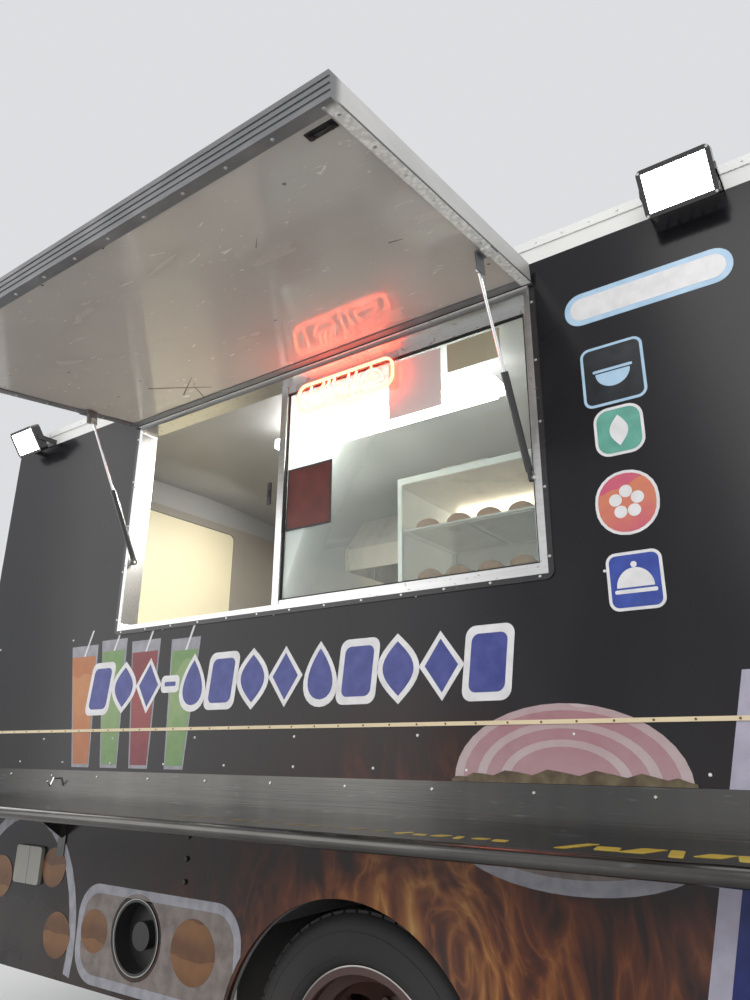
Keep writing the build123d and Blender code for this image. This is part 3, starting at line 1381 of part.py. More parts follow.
def rear_door():
    """Hinged rear door with its leaves and an outside lever."""
    gap, x = door_clearance, rear_face_x
    y0, y1 = rear_door_y0 + gap, rear_door_y1 - gap
    door = through_front(
        y0, y1, floor_top + gap, rear_door_z1 - gap, rear_door_radius, x, x + rear_door_thickness,
    )
    hinge_x, hinge_y = rear_hinge()
    outer, half = x - rear_hinge_leaf, rear_hinge_knuckle
    for z in rear_hinge_heights():
        door += block(outer, x, y1 - 50, y1 - 2, z - rear_hinge_half, z + rear_hinge_half)
        knuckle = block(outer, x - seat_gap, y1 - 3, hinge_y, z - half, z + half)
        knuckle += bar((hinge_x, hinge_y, z - half), (hinge_x, hinge_y, z + half), rear_hinge_radius)
        pin = bar((hinge_x, hinge_y, z - half), (hinge_x, hinge_y, z + half), rear_hinge_pin + running_gap)
        door += knuckle - pin
    z = 1700.0
    door += block(x - 12, x, y0 + 30, y0 + 90, z - 90, z + 90)
    door += block(x - 44, x - 12, y0 + 40, y0 + 60, z - 12, z + 12)
    return door + block(x - 44, x - 32, y0 + 40, y0 + 170, z - 12, z + 12)


def build():
    """Every piece of the truck by its node's name, measured from the rear axle."""
    outer, inner = envelope(0), envelope(wall, skirt_z - 50)
    shell = outer - inner
    aft, fore = strut_places()
    left_tyre = tyre(wheelbase, wheel_y)
    twin_tyres = Compound(tyre(0, wheel_y).solids() + tyre(0, wheel_y - dual_spacing).solids())
    wheel, twin_wheel = front_wheel(), rear_wheel()
    door, pane = cab_door(), cab_door_glass()
    left_knuckle = knuckle()
    return {
        "kerb_side": kerb_side(shell),
        "street_side": side_panel(shell, 1),
        "rear_wall": rear_wall(shell),
        "front_panel": front_panel(shell),
        "roof": roof(outer, inner),
        "floor": floor(),
        "fixed_glass": fixed_glass(),
        "grille": grille(),
        "headlamps": headlamps(),
        "marker_lamps": marker_lamps(),
        "flood_lamps": flood_lamps(),
        "bumpers": bumpers(),
        "mirrors": mirrors(),
        "chassis_frame": chassis_frame(),
        "leaf_springs": leaf_springs(),
        "dampers": dampers(),
        "front_axle": front_axle(),
        "rear_axle": rear_axle(),
        "engine_block": engine_block(),
        "engine_cover": engine_cover(),
        "dashboard": dashboard(),
        "driver_seat": driver_seat(),
        "fuel_tank": fuel_tank(),
        "exhaust": exhaust(),
        "serving_frame": serving_frame(),
        "serving_shelf": serving_shelf(),
        "side_fittings": side_fittings(),
        "neon_sign": neon_sign(),
        "counter": counter(),
        "kitchen_line": kitchen_line(),
        "display_cabinet": display_cabinet(),
        "ceiling_lamp": ceiling_lamp(),
        "roof_fan": roof_fan(),
        "awning_frame": awning_frame(),
        "awning_panel": awning_panel(),
        "strut_tube_aft": strut_tube(aft),
        "strut_tube_fore": strut_tube(fore),
        "strut_rod_aft": strut_rod(aft),
        "strut_rod_fore": strut_rod(fore),
        "cab_door_street": door,
        "cab_door_kerb": mirrored(door),
        "cab_door_glass_street": pane,
        "cab_door_glass_kerb": mirrored(pane),
        "rear_door": rear_door(),
        "knuckle_left": left_knuckle,
        "knuckle_right": mirrored(left_knuckle),
        "front_wheel_left": wheel,
        "front_wheel_right": mirrored(wheel),
        "front_tyre_left": left_tyre,
        "front_tyre_right": mirrored(left_tyre),
        "rear_wheels_left": twin_wheel,
        "rear_wheels_right": mirrored(twin_wheel),
        "rear_tyres_left": twin_tyres,
        "rear_tyres_right": mirrored(twin_tyres),
    }


def origin_of(pieces):
    """Middle of the whole truck's box on the ground."""
    boxes = [piece.bounding_box() for piece in pieces.values()]
    x = (min(box.min.X for box in boxes) + max(box.max.X for box in boxes)) / 2
    y = (min(box.min.Y for box in boxes) + max(box.max.Y for box in boxes)) / 2
    return x, y, 0.0


def main():
    os.makedirs("parts", exist_ok=True)
    pieces = build()
    x, y, z = origin_of(pieces)
    for name, piece in pieces.items():
        export_step(Pos(-x, -y, -z) * piece, f"parts/{name}.step")
    print(f"origin at x {x:.3f}, y {y:.3f} from the rear axle's middle")


if __name__ == "__main__":
    main()
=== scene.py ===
"""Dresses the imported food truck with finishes, its printed wrap, trim, tyres, kitchen and studio.

Places are metres in the truck's own coordinates, which start under the rear axle on the middle plane:
+X is forward, +Y is the street side and +Z is up.
"""

from __future__ import annotations

import json
import logging
import math
import random
from dataclasses import dataclass, field
from enum import Enum

import bmesh
import bpy
from mathutils import Matrix, Vector
from mathutils.geometry import tessellate_polygon

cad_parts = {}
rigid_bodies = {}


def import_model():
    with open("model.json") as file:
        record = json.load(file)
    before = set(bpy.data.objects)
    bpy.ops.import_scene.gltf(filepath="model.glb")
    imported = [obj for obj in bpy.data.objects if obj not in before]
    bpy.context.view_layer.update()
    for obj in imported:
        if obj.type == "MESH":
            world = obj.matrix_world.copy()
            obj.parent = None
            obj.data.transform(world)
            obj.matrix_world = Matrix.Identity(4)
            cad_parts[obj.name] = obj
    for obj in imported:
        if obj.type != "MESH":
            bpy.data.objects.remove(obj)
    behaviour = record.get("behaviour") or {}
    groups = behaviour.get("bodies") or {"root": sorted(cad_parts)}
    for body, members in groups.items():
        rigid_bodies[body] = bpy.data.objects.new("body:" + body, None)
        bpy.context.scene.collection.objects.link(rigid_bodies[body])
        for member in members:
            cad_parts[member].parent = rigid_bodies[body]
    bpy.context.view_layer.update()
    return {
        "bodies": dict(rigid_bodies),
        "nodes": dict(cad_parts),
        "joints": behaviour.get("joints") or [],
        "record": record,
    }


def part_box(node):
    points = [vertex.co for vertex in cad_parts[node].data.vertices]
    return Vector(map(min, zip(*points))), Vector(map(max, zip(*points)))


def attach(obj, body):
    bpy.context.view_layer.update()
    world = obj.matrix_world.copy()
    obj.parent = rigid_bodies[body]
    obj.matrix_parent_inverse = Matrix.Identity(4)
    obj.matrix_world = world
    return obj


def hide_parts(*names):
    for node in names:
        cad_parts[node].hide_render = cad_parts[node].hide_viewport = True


LOG = logging.getLogger("food_truck")
FULL_TURN = 2 * math.pi
Colour = tuple[float, float, float]
Pair = tuple[float, float]
Point = tuple[float, float, float] | Vector
Outline = list[Pair]


class Way(Enum):
    """Which way a flat outline or a repeated head faces, with its own two axes."""

    KERB = ((1.0, 0.0, 0.0), (0.0, 0.0, 1.0), (0.0, -1.0, 0.0))
    STREET = ((-1.0, 0.0, 0.0), (0.0, 0.0, 1.0), (0.0, 1.0, 0.0))
    REAR = ((0.0, -1.0, 0.0), (0.0, 0.0, 1.0), (-1.0, 0.0, 0.0))
    UP = ((1.0, 0.0, 0.0), (0.0, 1.0, 0.0), (0.0, 0.0, 1.0))
    DOWN = ((1.0, 0.0, 0.0), (0.0, -1.0, 0.0), (0.0, 0.0, -1.0))

    @property
    def axes(self) -> tuple[Vector, Vector, Vector]:
        """The outline's first and second axis, and the direction that it faces."""
        return tuple(Vector(axis) for axis in self.value)

    @property
    def turn(self) -> Vector:
        """Euler turn that brings +Z to the direction that the outline faces."""
        return Vector(Matrix(self.axes).transposed().to_euler())


class Side(Enum):
    """Which of a pair of pieces is meant, as the sign of its place across."""

    KERB = -1
    STREET = 1

    @property
    def way(self) -> Way:
        """The way that this side faces."""
        return Way[self.name]


@dataclass(frozen=True)
class Place:
    """Where the truck's own coordinates start in the frame."""

    axle_x: float
    centre_y: float

    @classmethod
    def from_frame(cls) -> Place:
        """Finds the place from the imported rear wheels."""
        left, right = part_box("rear_wheels_left"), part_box("rear_wheels_right")
        return cls(axle_x=(left[0].x + left[1].x) / 2, centre_y=(left[1].y + right[0].y) / 2)

    @property
    def offset(self) -> Vector:
        """Vector from the frame's origin to the truck's own."""
        return Vector((self.axle_x, self.centre_y, 0.0))


# Node trees


class Value:
    """A node's output, with arithmetic that adds Math nodes."""

    def __init__(self, graph: Graph, socket: bpy.types.NodeSocket) -> None:
        """Keeps the output and the tree that it belongs to."""
        self.graph, self.socket = graph, socket

    def math(self, operation: str, *others: Value | float, clamp: bool = False) -> Value:
        """Adds one Math node, whose first operand is this value."""
        settings = {"operation": operation, "use_clamp": clamp}
        return self.graph.node("ShaderNodeMath", settings, dict(enumerate((self, *others))))

    def __add__(self, other: Value | float) -> Value:
        """Sum."""
        return self.math("ADD", other)

    __radd__ = __add__

    def __mul__(self, other: Value | float) -> Value:
        """Product."""
        return self.math("MULTIPLY", other)

    def __sub__(self, other: Value | float) -> Value:
        """Difference."""
        return self.math("SUBTRACT", other)

    def __rsub__(self, other: float) -> Value:
        """Difference from a number."""
        return self.graph.node("ShaderNodeMath", {"operation": "SUBTRACT"}, {0: other, 1: self})

    def __truediv__(self, other: Value | float) -> Value:
        """Quotient."""
        return self.math("DIVIDE", other)

    def __pow__(self, other: float) -> Value:
        """Power."""
        return self.math("POWER", other)

    def __abs__(self) -> Value:
        """Size without its sign."""
        return self.math("ABSOLUTE")

    def ramp(self, low: float, high: float, smooth: bool = True) -> Value:
        """Mask that rises from 0 to 1 between two values, or falls where low is over high.

        Args:
            low: Value that gives 0.
            high: Value that gives 1.
            smooth: Whether the ends are eased.

        Returns:
            The mask.
        """
        settings = {"interpolation_type": "SMOOTHSTEP" if smooth else "LINEAR", "clamp": True}
        values = {"Value": self, "From Min": min(low, high), "From Max": max(low, high)}
        rising = self.graph.node("ShaderNodeMapRange", settings, values)
        return 1.0 - rising if low > high else rising


class Graph:
    """A node tree that is being filled."""

    def __init__(self, tree: bpy.types.NodeTree) -> None:
        """Keeps the tree."""
        self.tree = tree

    def node(self, kind: str, settings: dict[str, object] | None = None,
             values: dict[int | str, object] | None = None, output: int | str = 0) -> Value:
        """Adds a node.

        Args:
            kind: Type of the node.
            settings: Attributes of the node.
            values: Numbers, colours or values of its inputs.
            output: Which output is handed over.

        Returns:
            The node's output.
        """
        made = self.tree.nodes.new(kind)
        for key, setting in (settings or {}).items():
            setattr(made, key, setting)
        for key, value in (values or {}).items():
            self.feed(made.inputs[key], value)
        return Value(self, made.outputs[output])

    def feed(self, socket: bpy.types.NodeSocket, value: object) -> None:
        """Sets or links one input.

        Args:
            socket: The input.
            value: A number, a colour, a vector or a value.
        """
        if isinstance(value, Value):
            self.tree.links.new(value.socket, socket)
        elif isinstance(value, tuple) and socket.type == "RGBA":
            socket.default_value = (*value, 1.0)
        else:
            socket.default_value = value

    def combine(self, x: Value | float, y: Value | float, z: Value | float) -> Value:
        """Puts three numbers into a vector."""
        return self.node("ShaderNodeCombineXYZ", None, {0: x, 1: y, 2: z})

    def seen(self) -> Value:
        """Whether the camera sees a point, straight or by a mirror or a pane."""
        rays = [self.node("ShaderNodeLightPath", output=f"Is {kind} Ray")
                for kind in ("Camera", "Glossy", "Transmission")]
        return rays[0].math("MAXIMUM", rays[1]).math("MAXIMUM", rays[2])


class Shader(Graph):
    """A material that is being made."""

    def __init__(self, name: str, place: Place) -> None:
        """Starts an empty material.

        Args:
            name: Name of the material.
            place: Where the truck's own coordinates start.
        """
        self.material = bpy.data.materials.new(name)
        self.material.use_nodes = True
        super().__init__(self.material.node_tree)
        self.tree.nodes.clear()
        coordinates = self.node("ShaderNodeTexCoord", output="Object")
        self.position = self.vector("SUBTRACT", coordinates, tuple(place.offset))
        parts = self.node("ShaderNodeSeparateXYZ", None, {0: self.position}).socket.node
        self.x, self.y, self.z = (Value(self, socket) for socket in parts.outputs)

    def vector(self, operation: str, first: Value | Point, second: Value | Point) -> Value:
        """Adds one Vector Math node."""
        return self.node("ShaderNodeVectorMath", {"operation": operation}, {0: first, 1: second})

    def noise(self, scale: float, stretch: Point = (1.0, 1.0, 1.0), detail: float = 3.0,
              vector: Value | None = None, distortion: float = 0.0) -> Value:
        """Cloudy pattern.

        Args:
            scale: Cells for each metre.
            stretch: Share of that scale along each axis.
            detail: Octaves.
            vector: Coordinates other than the truck's own.
            distortion: How far the pattern is warped.

        Returns:
            The pattern, about 0.5 on average.
        """
        where = self.vector("MULTIPLY", vector or self.position, stretch)
        values = {"Vector": where, "Scale": scale, "Detail": detail, "Distortion": distortion}
        return self.node("ShaderNodeTexNoise", None, values)

    def cells(self, feature: str, scale: float, **values: float) -> Value:
        """Distances to the middles of random cells."""
        return self.node("ShaderNodeTexVoronoi", {"feature": feature}, {
            "Vector": self.position, "Scale": scale, **values})

    def mix(self, factor: Value | float, first: Value | Colour, second: Value | Colour) -> Value:
        """Mixes two colours by the share of the second."""
        settings = {"data_type": "RGBA", "blend_type": "MIX"}
        return self.node("ShaderNodeMix", settings, {0: factor, 6: first, 7: second}, 2)

    def colours(self, factor: Value, stops: list[tuple[float, Colour]]) -> Value:
        """Colour ramp.

        Args:
            factor: Where to read the ramp.
            stops: Places and colours of the ramp.

        Returns:
            The colour.
        """
        made = self.node("ShaderNodeValToRGB", None, {0: factor})
        elements = made.socket.node.color_ramp.elements
        while len(elements) < len(stops):
            elements.new(1.0)
        for element, (at, colour) in zip(elements, stops):
            element.position = at
            element.color = (*colour, 1.0)
        return made

    def bump(self, height: Value, strength: float, distance: float = 0.001) -> Value:
        """Relief of a height from 0 to 1, with its strength and its depth in metres."""
        values = {"Strength": strength, "Distance": distance, "Height": height}
        return self.node("ShaderNodeBump", None, values)

    def surface(self, **values: object) -> Value:
        """Adds the main shader; its inputs are named with underscores for spaces."""
        named = {key.replace("_", " "): value for key, value in values.items()}
        return self.node("ShaderNodeBsdfPrincipled", None, named)

    def blend(self, factor: Value, first: Value, second: Value) -> Value:
        """Mixes two surfaces by the share of the second."""
        return self.node("ShaderNodeMixShader", None, {0: factor, 1: first, 2: second})

    def clear(self, tint: Colour) -> Value:
        """Surface that only tints what is behind it."""
        return self.node("ShaderNodeBsdfTransparent", None, {"Color": tint})

    def finish(self, surface: Value) -> bpy.types.Material:
        """Shows a surface and hands over the material."""
        output = self.tree.nodes.new("ShaderNodeOutputMaterial")
        self.feed(output.inputs["Surface"], surface)
        return self.material


# Looks


def shade(colour: Colour, factor: float) -> Colour:
    """Colour with each channel multiplied."""
    return tuple(channel * factor for channel in colour)


@dataclass(frozen=True)
class Look:
    """How a surface looks."""

    name: str

    def build(self, place: Place) -> bpy.types.Material:
        """Makes the material of the look."""
        shader = Shader(self.name, place)
        return shader.finish(self.draw(shader))

    def draw(self, shader: Shader) -> Value:
        """Adds the look's nodes.

        Args:
            shader: Shader that takes them.

        Returns:
            The surface to show.
        """
        raise NotImplementedError(self.name)


@dataclass(frozen=True)
class Finish(Look):
    """A painted, moulded or bare-metal surface with its variation, relief and dirt."""

    colour: Colour
    roughness: float = 0.45
    metallic: float = 0.0
    coat: float = 0.0
    mottle: float = 0.12
    mottle_size: float = 5.0
    spread: Point = (1.0, 1.0, 1.0)
    grain: float = 350.0
    stretch: Point = (1.0, 1.0, 1.0)
    relief: float = 0.12
    scratches: float = 0.0
    dust: float = 0.0
    dust_height: float = 0.9

    def draw(self, shader: Shader) -> Value:
        """Mottled colour with fine relief, scratches and dust low down.

        Args:
            shader: Shader that takes the nodes.

        Returns:
            The surface to show.
        """
        broad = shader.noise(self.mottle_size, self.spread)
        fine = shader.noise(self.grain, self.stretch, detail=2.0)
        light = tuple(min(channel + 0.004, 1.0) for channel in shade(self.colour, 1 + self.mottle))
        colour = shader.mix(broad, shade(self.colour, 1 - self.mottle), light)
        rough = self.roughness + (broad - 0.5) * 0.16 + (fine - 0.5) * 0.1
        if self.scratches:
            lines = shader.noise(14.0, (1.0, 1.0, 9.0), detail=6.0, distortion=0.6)
            mask = lines.ramp(0.62, 0.72) * self.scratches
            colour = shader.mix(mask, colour, tuple(0.5 * c + 0.3 for c in self.colour))
            rough = rough + mask * 0.25
        if self.dust:
            cloud = shader.noise(2.2, detail=5.0)
            mask = shader.z.ramp(self.dust_height, 0.15) * cloud.ramp(0.3, 0.75) * self.dust
            colour = shader.mix(mask, colour, (0.30, 0.26, 0.21))
            rough = rough + mask * 0.4
        return shader.surface(
            Base_Color=colour, Roughness=rough, Metallic=self.metallic, Coat_Weight=self.coat,
            Coat_Roughness=0.12, Normal=shader.bump(fine, self.relief))


@dataclass(frozen=True)
class Pane(Look):
    """Clear glass or a lens, with smears that catch the light."""

    tint: Colour = (0.93, 0.96, 0.95)
    smear: float = 0.06
    body: float = 0.025
    lines: Point = (1.0, 1.0, 0.6)

    def draw(self, shader: Shader) -> Value:
        """Tinted view through a smeared gloss.

        Args:
            shader: Shader that takes the nodes.

        Returns:
            The surface to show.
        """
        smear = shader.noise(5.0, self.lines, detail=6.0, distortion=0.4).ramp(0.48, 0.75) * self.smear
        gloss = shader.surface(Base_Color=shader.mix(smear, self.tint, (0.70, 0.66, 0.59)),
                               Roughness=0.03 + smear, Metallic=0.0)
        edge = shader.node("ShaderNodeFresnel", None, {"IOR": 1.45})
        factor = edge.math("ADD", self.body + smear * 0.8, clamp=True)
        return shader.blend(factor, shader.clear(self.tint), gloss)


@dataclass(frozen=True)
class Glow(Look):
    """A lit tube, lens or lamp."""

    colour: Colour
    strength: float

    def draw(self, shader: Shader) -> Value:
        """Slightly uneven light.

        Args:
            shader: Shader that takes the nodes.

        Returns:
            The surface to show.
        """
        dim = tuple(min(1.0, c * 0.8 + 0.1) for c in self.colour)
        colour = shader.mix(shader.noise(30.0).ramp(0.3, 0.7) * 0.3, self.colour, dim)
        return shader.surface(Base_Color=colour, Roughness=0.3, Emission_Color=colour,
                              Emission_Strength=self.strength)


@dataclass(frozen=True)
class Wrap(Look):
    """Near-black printed film with flames rising from the skirt, and a plain lining inside."""

    lining: Colour = (0.62, 0.62, 0.61)
    inside_y: float = 1.165

    def draw(self, shader: Shader) -> Value:
        """Flames by noise over the film outside, brushed lining inside.

        Args:
            shader: Shader that takes the nodes.

        Returns:
            The surface to show.
        """
        across = shader.x + shader.y
        drift = shader.noise(1.4, vector=shader.combine(across, 0.0, shader.z * 0.7), detail=2.0)
        bent = shader.combine(across + drift * 0.62, drift * 1.6, shader.z * 0.27 - drift * 0.28)
        tongues = shader.noise(6.5, vector=bent, detail=2.5, distortion=0.35)
        thin = shader.noise(13.0, vector=bent, detail=3.0, distortion=0.5)
        ridge = (1.0 - abs(tongues * 2.0 - 1.0)) ** 3.0
        lick = (1.0 - abs(thin * 2.0 - 1.0)) ** 4.0
        patch = shader.noise(0.85, vector=shader.combine(across, 3.7, shader.z * 0.5), detail=1.0)
        front = shader.x.ramp(-0.60, 0.20) * 0.72 + 0.28
        reach = shader.z.ramp(1.62, 0.55) * patch.ramp(0.34, 0.66) * front
        skirt = shader.x.ramp(0.25, 0.60) * shader.x.ramp(1.80, 1.45) * shader.z.ramp(1.12, 0.80)
        reach = reach.math("MAXIMUM", skirt * (patch.ramp(0.30, 0.60) * 0.40 + 0.30))
        fire = shader.colours((ridge * 0.75 + lick * 0.45) * reach, [
            (0.0, (0.008, 0.008, 0.010)), (0.22, (0.022, 0.008, 0.006)),
            (0.42, (0.080, 0.020, 0.008)), (0.62, (0.185, 0.060, 0.016)),
            (0.82, (0.30, 0.125, 0.032)), (1.0, (0.42, 0.24, 0.080))])
        smoke = shader.noise(1.1, (1.0, 1.0, 0.5), detail=4.0)
        film = shader.mix(smoke.ramp(0.5, 0.8) * 0.35, fire, (0.045, 0.047, 0.055))
        dust = shader.z.ramp(0.95, 0.4) * shader.noise(2.5, detail=5.0).ramp(0.35, 0.8) * 0.3
        film = shader.mix(dust, film, (0.16, 0.14, 0.12))
        inside = abs(shader.y).ramp(self.inside_y + 0.001, self.inside_y - 0.001, smooth=False)
        brushed = shader.noise(180.0, (1.0, 1.0, 0.02), detail=2.0)
        lining = shader.mix(brushed, shade(self.lining, 0.85), self.lining)
        return shader.surface(
            Base_Color=shader.mix(inside, film, lining),
            Roughness=0.16 + dust * 0.8 + smoke * 0.08 + inside * 0.2,
            Metallic=inside * 0.8, Specular_IOR_Level=0.28,
            Normal=shader.bump(shader.noise(60.0, detail=2.0), 0.06))


@dataclass(frozen=True)
class RoofPaint(Look):
    """White roof outside and a dull grey ceiling inside."""

    inner_crown: float = 2.851
    fall: float = 0.0605

    def draw(self, shader: Shader) -> Value:
        """White over the ceiling's crown, grey under it.

        Args:
            shader: Shader that takes the nodes.

        Returns:
            The surface to show.
        """
        crown = self.inner_crown - shader.y * shader.y * self.fall
        outside = (shader.z - crown).ramp(-0.004, 0.004, smooth=False)
        outside = outside.math("MAXIMUM", abs(shader.y).ramp(1.155, 1.16, smooth=False))
        streaks = shader.noise(3.0, (1.0, 0.25, 1.0), detail=5.0)
        white = shader.mix(streaks.ramp(0.45, 0.8) * 0.3, (0.72, 0.72, 0.70), (0.50, 0.48, 0.44))
        grey = shader.mix(streaks, (0.26, 0.265, 0.27), (0.37, 0.375, 0.38))
        return shader.surface(Base_Color=shader.mix(outside, grey, white),
                              Roughness=0.34 + streaks * 0.2,
                              Normal=shader.bump(shader.noise(25.0), 0.05))


@dataclass(frozen=True)
class RearPaint(Look):
    """Near-black wrap outside and a pale lining inside."""

    lining: Colour = (0.30, 0.28, 0.25)
    split_x: float = -2.180

    def draw(self, shader: Shader) -> Value:
        """Film behind the split, lining before it.

        Args:
            shader: Shader that takes the nodes.

        Returns:
            The surface to show.
        """
        inside = shader.x.ramp(self.split_x - 0.001, self.split_x + 0.001, smooth=False)
        cloud = shader.noise(2.0, detail=4.0)
        film = shader.mix(cloud, (0.010, 0.010, 0.012), (0.030, 0.030, 0.034))
        dust = shader.z.ramp(1.1, 0.6) * cloud.ramp(0.3, 0.8) * 0.4
        film = shader.mix(dust, film, (0.17, 0.15, 0.12))
        lining = shader.mix(cloud, shade(self.lining, 0.85), self.lining)
        return shader.surface(Base_Color=shader.mix(inside, film, lining),
                              Roughness=0.2 + dust + inside * 0.25,
                              Normal=shader.bump(shader.noise(60.0), 0.06))


@dataclass(frozen=True)
class AwningLook(Look):
    """Base of the looks that split the lifted awning by the height over its underside."""

    hinge: Pair = (-1.190, 2.610)
    droop: float = 8.0

    def lift(self, shader: Shader) -> Value:
        """Height over the underside in metres."""
        across, up = math.sin(math.radians(self.droop)), math.cos(math.radians(self.droop))
        return (shader.z - self.hinge[1]) * up - (shader.y - self.hinge[0]) * across


@dataclass(frozen=True)
class AwningSheet(AwningLook):
    """Glossy off-white underside with smears, scratches and dark spots, and near-black film on top."""

    top: float = 0.060

    def draw(self, shader: Shader) -> Value:
        """Marked underside below the top film.

        Args:
            shader: Shader that takes the nodes.

        Returns:
            The surface to show.
        """
        broad = shader.noise(1.6, detail=3.0)
        colour = shader.mix(broad, (0.40, 0.375, 0.345), (0.52, 0.495, 0.46))
        smear = shader.noise(3.2, (0.4, 1.0, 1.0), detail=7.0, distortion=1.4).ramp(0.50, 0.74)
        colour = shader.mix(smear * 0.35, colour, (0.36, 0.34, 0.32))
        fine = shader.noise(9.0, (1.0, 3.5, 1.0), detail=8.0, distortion=2.2).ramp(0.66, 0.72)
        colour = shader.mix(fine * 0.4, colour, (0.80, 0.79, 0.77))
        dots = shader.cells("F1", 9.0, Randomness=1.0).ramp(0.055, 0.035)
        colour = shader.mix(dots * 0.85, colour, (0.10, 0.09, 0.085))
        outer = self.lift(shader).ramp(self.top - 0.0015, self.top - 0.0008, smooth=False)
        film = shader.mix(broad, (0.009, 0.009, 0.011), (0.024, 0.024, 0.027))
        return shader.surface(Base_Color=shader.mix(outer, colour, film),
                              Roughness=0.10 + smear * 0.22 + fine * 0.25,
                              Normal=shader.bump(shader.noise(2.6, detail=2.0), 0.10, 0.004))


@dataclass(frozen=True)
class AwningBorder(AwningLook):
    """Dark grey front rail, with a bright hammered strip along the fore side."""

    fore_x: float = 0.664
    side_x: float = 0.690
    end_y: float = -2.140

    def draw(self, shader: Shader) -> Value:
        """Grey rail, hammered foil under the fore strip and a pale side with a thin line.

        Args:
            shader: Shader that takes the nodes.

        Returns:
            The surface to show.
        """
        bright = shader.x.ramp(self.fore_x - 0.01, self.fore_x)
        bright = bright * shader.y.ramp(self.end_y - 0.03, self.end_y)
        side = shader.x.ramp(self.side_x - 0.0004, self.side_x - 0.0001, smooth=False)
        line = self.lift(shader).ramp(0.0070, 0.0055, smooth=False) * side * bright
        foil = bright * (1.0 - side)
        beads = shader.cells("SMOOTH_F1", 75.0, Smoothness=0.4)
        wear = shader.noise(7.0, (1.0, 1.0, 3.0), detail=6.0)
        dark = shader.mix(wear.ramp(0.45, 0.75) * 0.5, (0.16, 0.163, 0.17), (0.30, 0.30, 0.305))
        pale = shader.mix(wear, (0.42, 0.42, 0.41), (0.60, 0.59, 0.57))
        beaten = shader.mix(beads.ramp(0.15, 0.75), (0.97, 0.97, 0.95), (0.72, 0.72, 0.70))
        colour = shader.mix(foil, shader.mix(bright, dark, pale), beaten)
        return shader.surface(Base_Color=shader.mix(line, colour, (0.05, 0.05, 0.05)),
                              Metallic=0.35 - foil * 0.25,
                              Roughness=0.45 - bright * 0.12 + wear * 0.1,
                              Normal=shader.bump(beads * foil + wear * 0.3, 0.5, 0.002))


@dataclass(frozen=True)
class FramePaint(Look):
    """Bright window aluminium, with the wrap over the flange up to a thin bright line."""

    middle: Pair = (-0.2515, 2.155)
    half: Pair = (0.9205, 0.445)
    line: float = 0.006

    def draw(self, shader: Shader) -> Value:
        """Brushed metal inside the line, film outside it.

        Args:
            shader: Shader that takes the nodes.

        Returns:
            The surface to show.
        """
        beside = abs(shader.x - self.middle[0]) - (self.half[0] + self.line)
        above = abs(shader.z - self.middle[1]) - (self.half[1] + self.line)
        wrapped = beside.math("MAXIMUM", above).ramp(-0.0004, 0.0004, smooth=False)
        brushed = shader.noise(220.0, (0.02, 1.0, 0.4), detail=2.0)
        specks = shader.noise(60.0, detail=6.0).ramp(0.62, 0.70) * 0.5
        metal = shader.mix(brushed, (0.50, 0.50, 0.50), (0.68, 0.68, 0.68))
        metal = shader.mix(specks, metal, (0.22, 0.20, 0.18))
        film = shader.mix(brushed, (0.016, 0.015, 0.017), (0.030, 0.028, 0.030))
        return shader.surface(Base_Color=shader.mix(wrapped, metal, film), Metallic=1.0 - wrapped,
                              Roughness=0.28 + specks * 0.4 - wrapped * 0.06,
                              Normal=shader.bump(brushed, 0.08))


@dataclass(frozen=True)
class FittingPaint(Look):
    """Black filler cup with a thin pale rim line, and a beige cover, darkened as painted shade, with a seam
    over the outlet.
    """

    split_x: float = -1.300
    cup: Pair = (-0.883, 0.647)
    rim_radius: float = 0.1150
    seam_x: float = -1.556

    def draw(self, shader: Shader) -> Value:
        """Cup before the split, cover behind it.

        Args:
            shader: Shader that takes the nodes.

        Returns:
            The surface to show.
        """
        cover = shader.x.ramp(self.split_x + 0.01, self.split_x - 0.01)
        cloud = shader.noise(12.0, detail=5.0)
        black = shader.mix(cloud, (0.010, 0.010, 0.011), (0.022, 0.022, 0.024))
        across, up = shader.x - self.cup[0], shader.z - self.cup[1]
        reach = (across * across + up * up).math("SQRT")
        rim = abs(reach - self.rim_radius).ramp(0.0016, 0.0008, smooth=False)
        black = shader.mix(rim, black, (0.42, 0.42, 0.40))
        # Painted shade: the pale beige cover gets this dark grey-beige because it sits in shade low on the
        # side.
        grey = shader.mix(cloud, (0.20, 0.195, 0.175), (0.29, 0.28, 0.25))
        seam = abs(shader.x - self.seam_x).ramp(0.0020, 0.0012, smooth=False)
        grey = shader.mix(seam, grey, (0.02, 0.02, 0.02))
        return shader.surface(Base_Color=shader.mix(cover, black, grey), Roughness=0.30 + cloud * 0.25,
                              Normal=shader.bump(shader.noise(400.0), 0.15))


@dataclass(frozen=True)
class SignPaint(Look):
    """Clear back plate with a lit tube in front of it."""

    front_y: float = -1.1482
    strength: float = 15.0

    def draw(self, shader: Shader) -> Value:
        """Lit red before the plate's face, clear plate behind it.

        Args:
            shader: Shader that takes the nodes.

        Returns:
            The surface to show.
        """
        tube = shader.y.ramp(self.front_y + 0.0002, self.front_y - 0.0002, smooth=False)
        cloud = shader.noise(30.0)
        colour = shader.mix(cloud, (1.0, 0.08, 0.035), (1.0, 0.13, 0.06))
        lit = shader.surface(Base_Color=colour, Roughness=0.3, Emission_Color=colour,
                             Emission_Strength=self.strength)
        gloss = shader.surface(Base_Color=shader.mix(cloud, (0.30, 0.30, 0.30), (0.40, 0.40, 0.40)),
                               Roughness=0.06)
        plate = shader.blend(cloud * 0.10 + 0.04, shader.clear((0.94, 0.94, 0.94)), gloss)
        return shader.blend(tube, plate, lit)


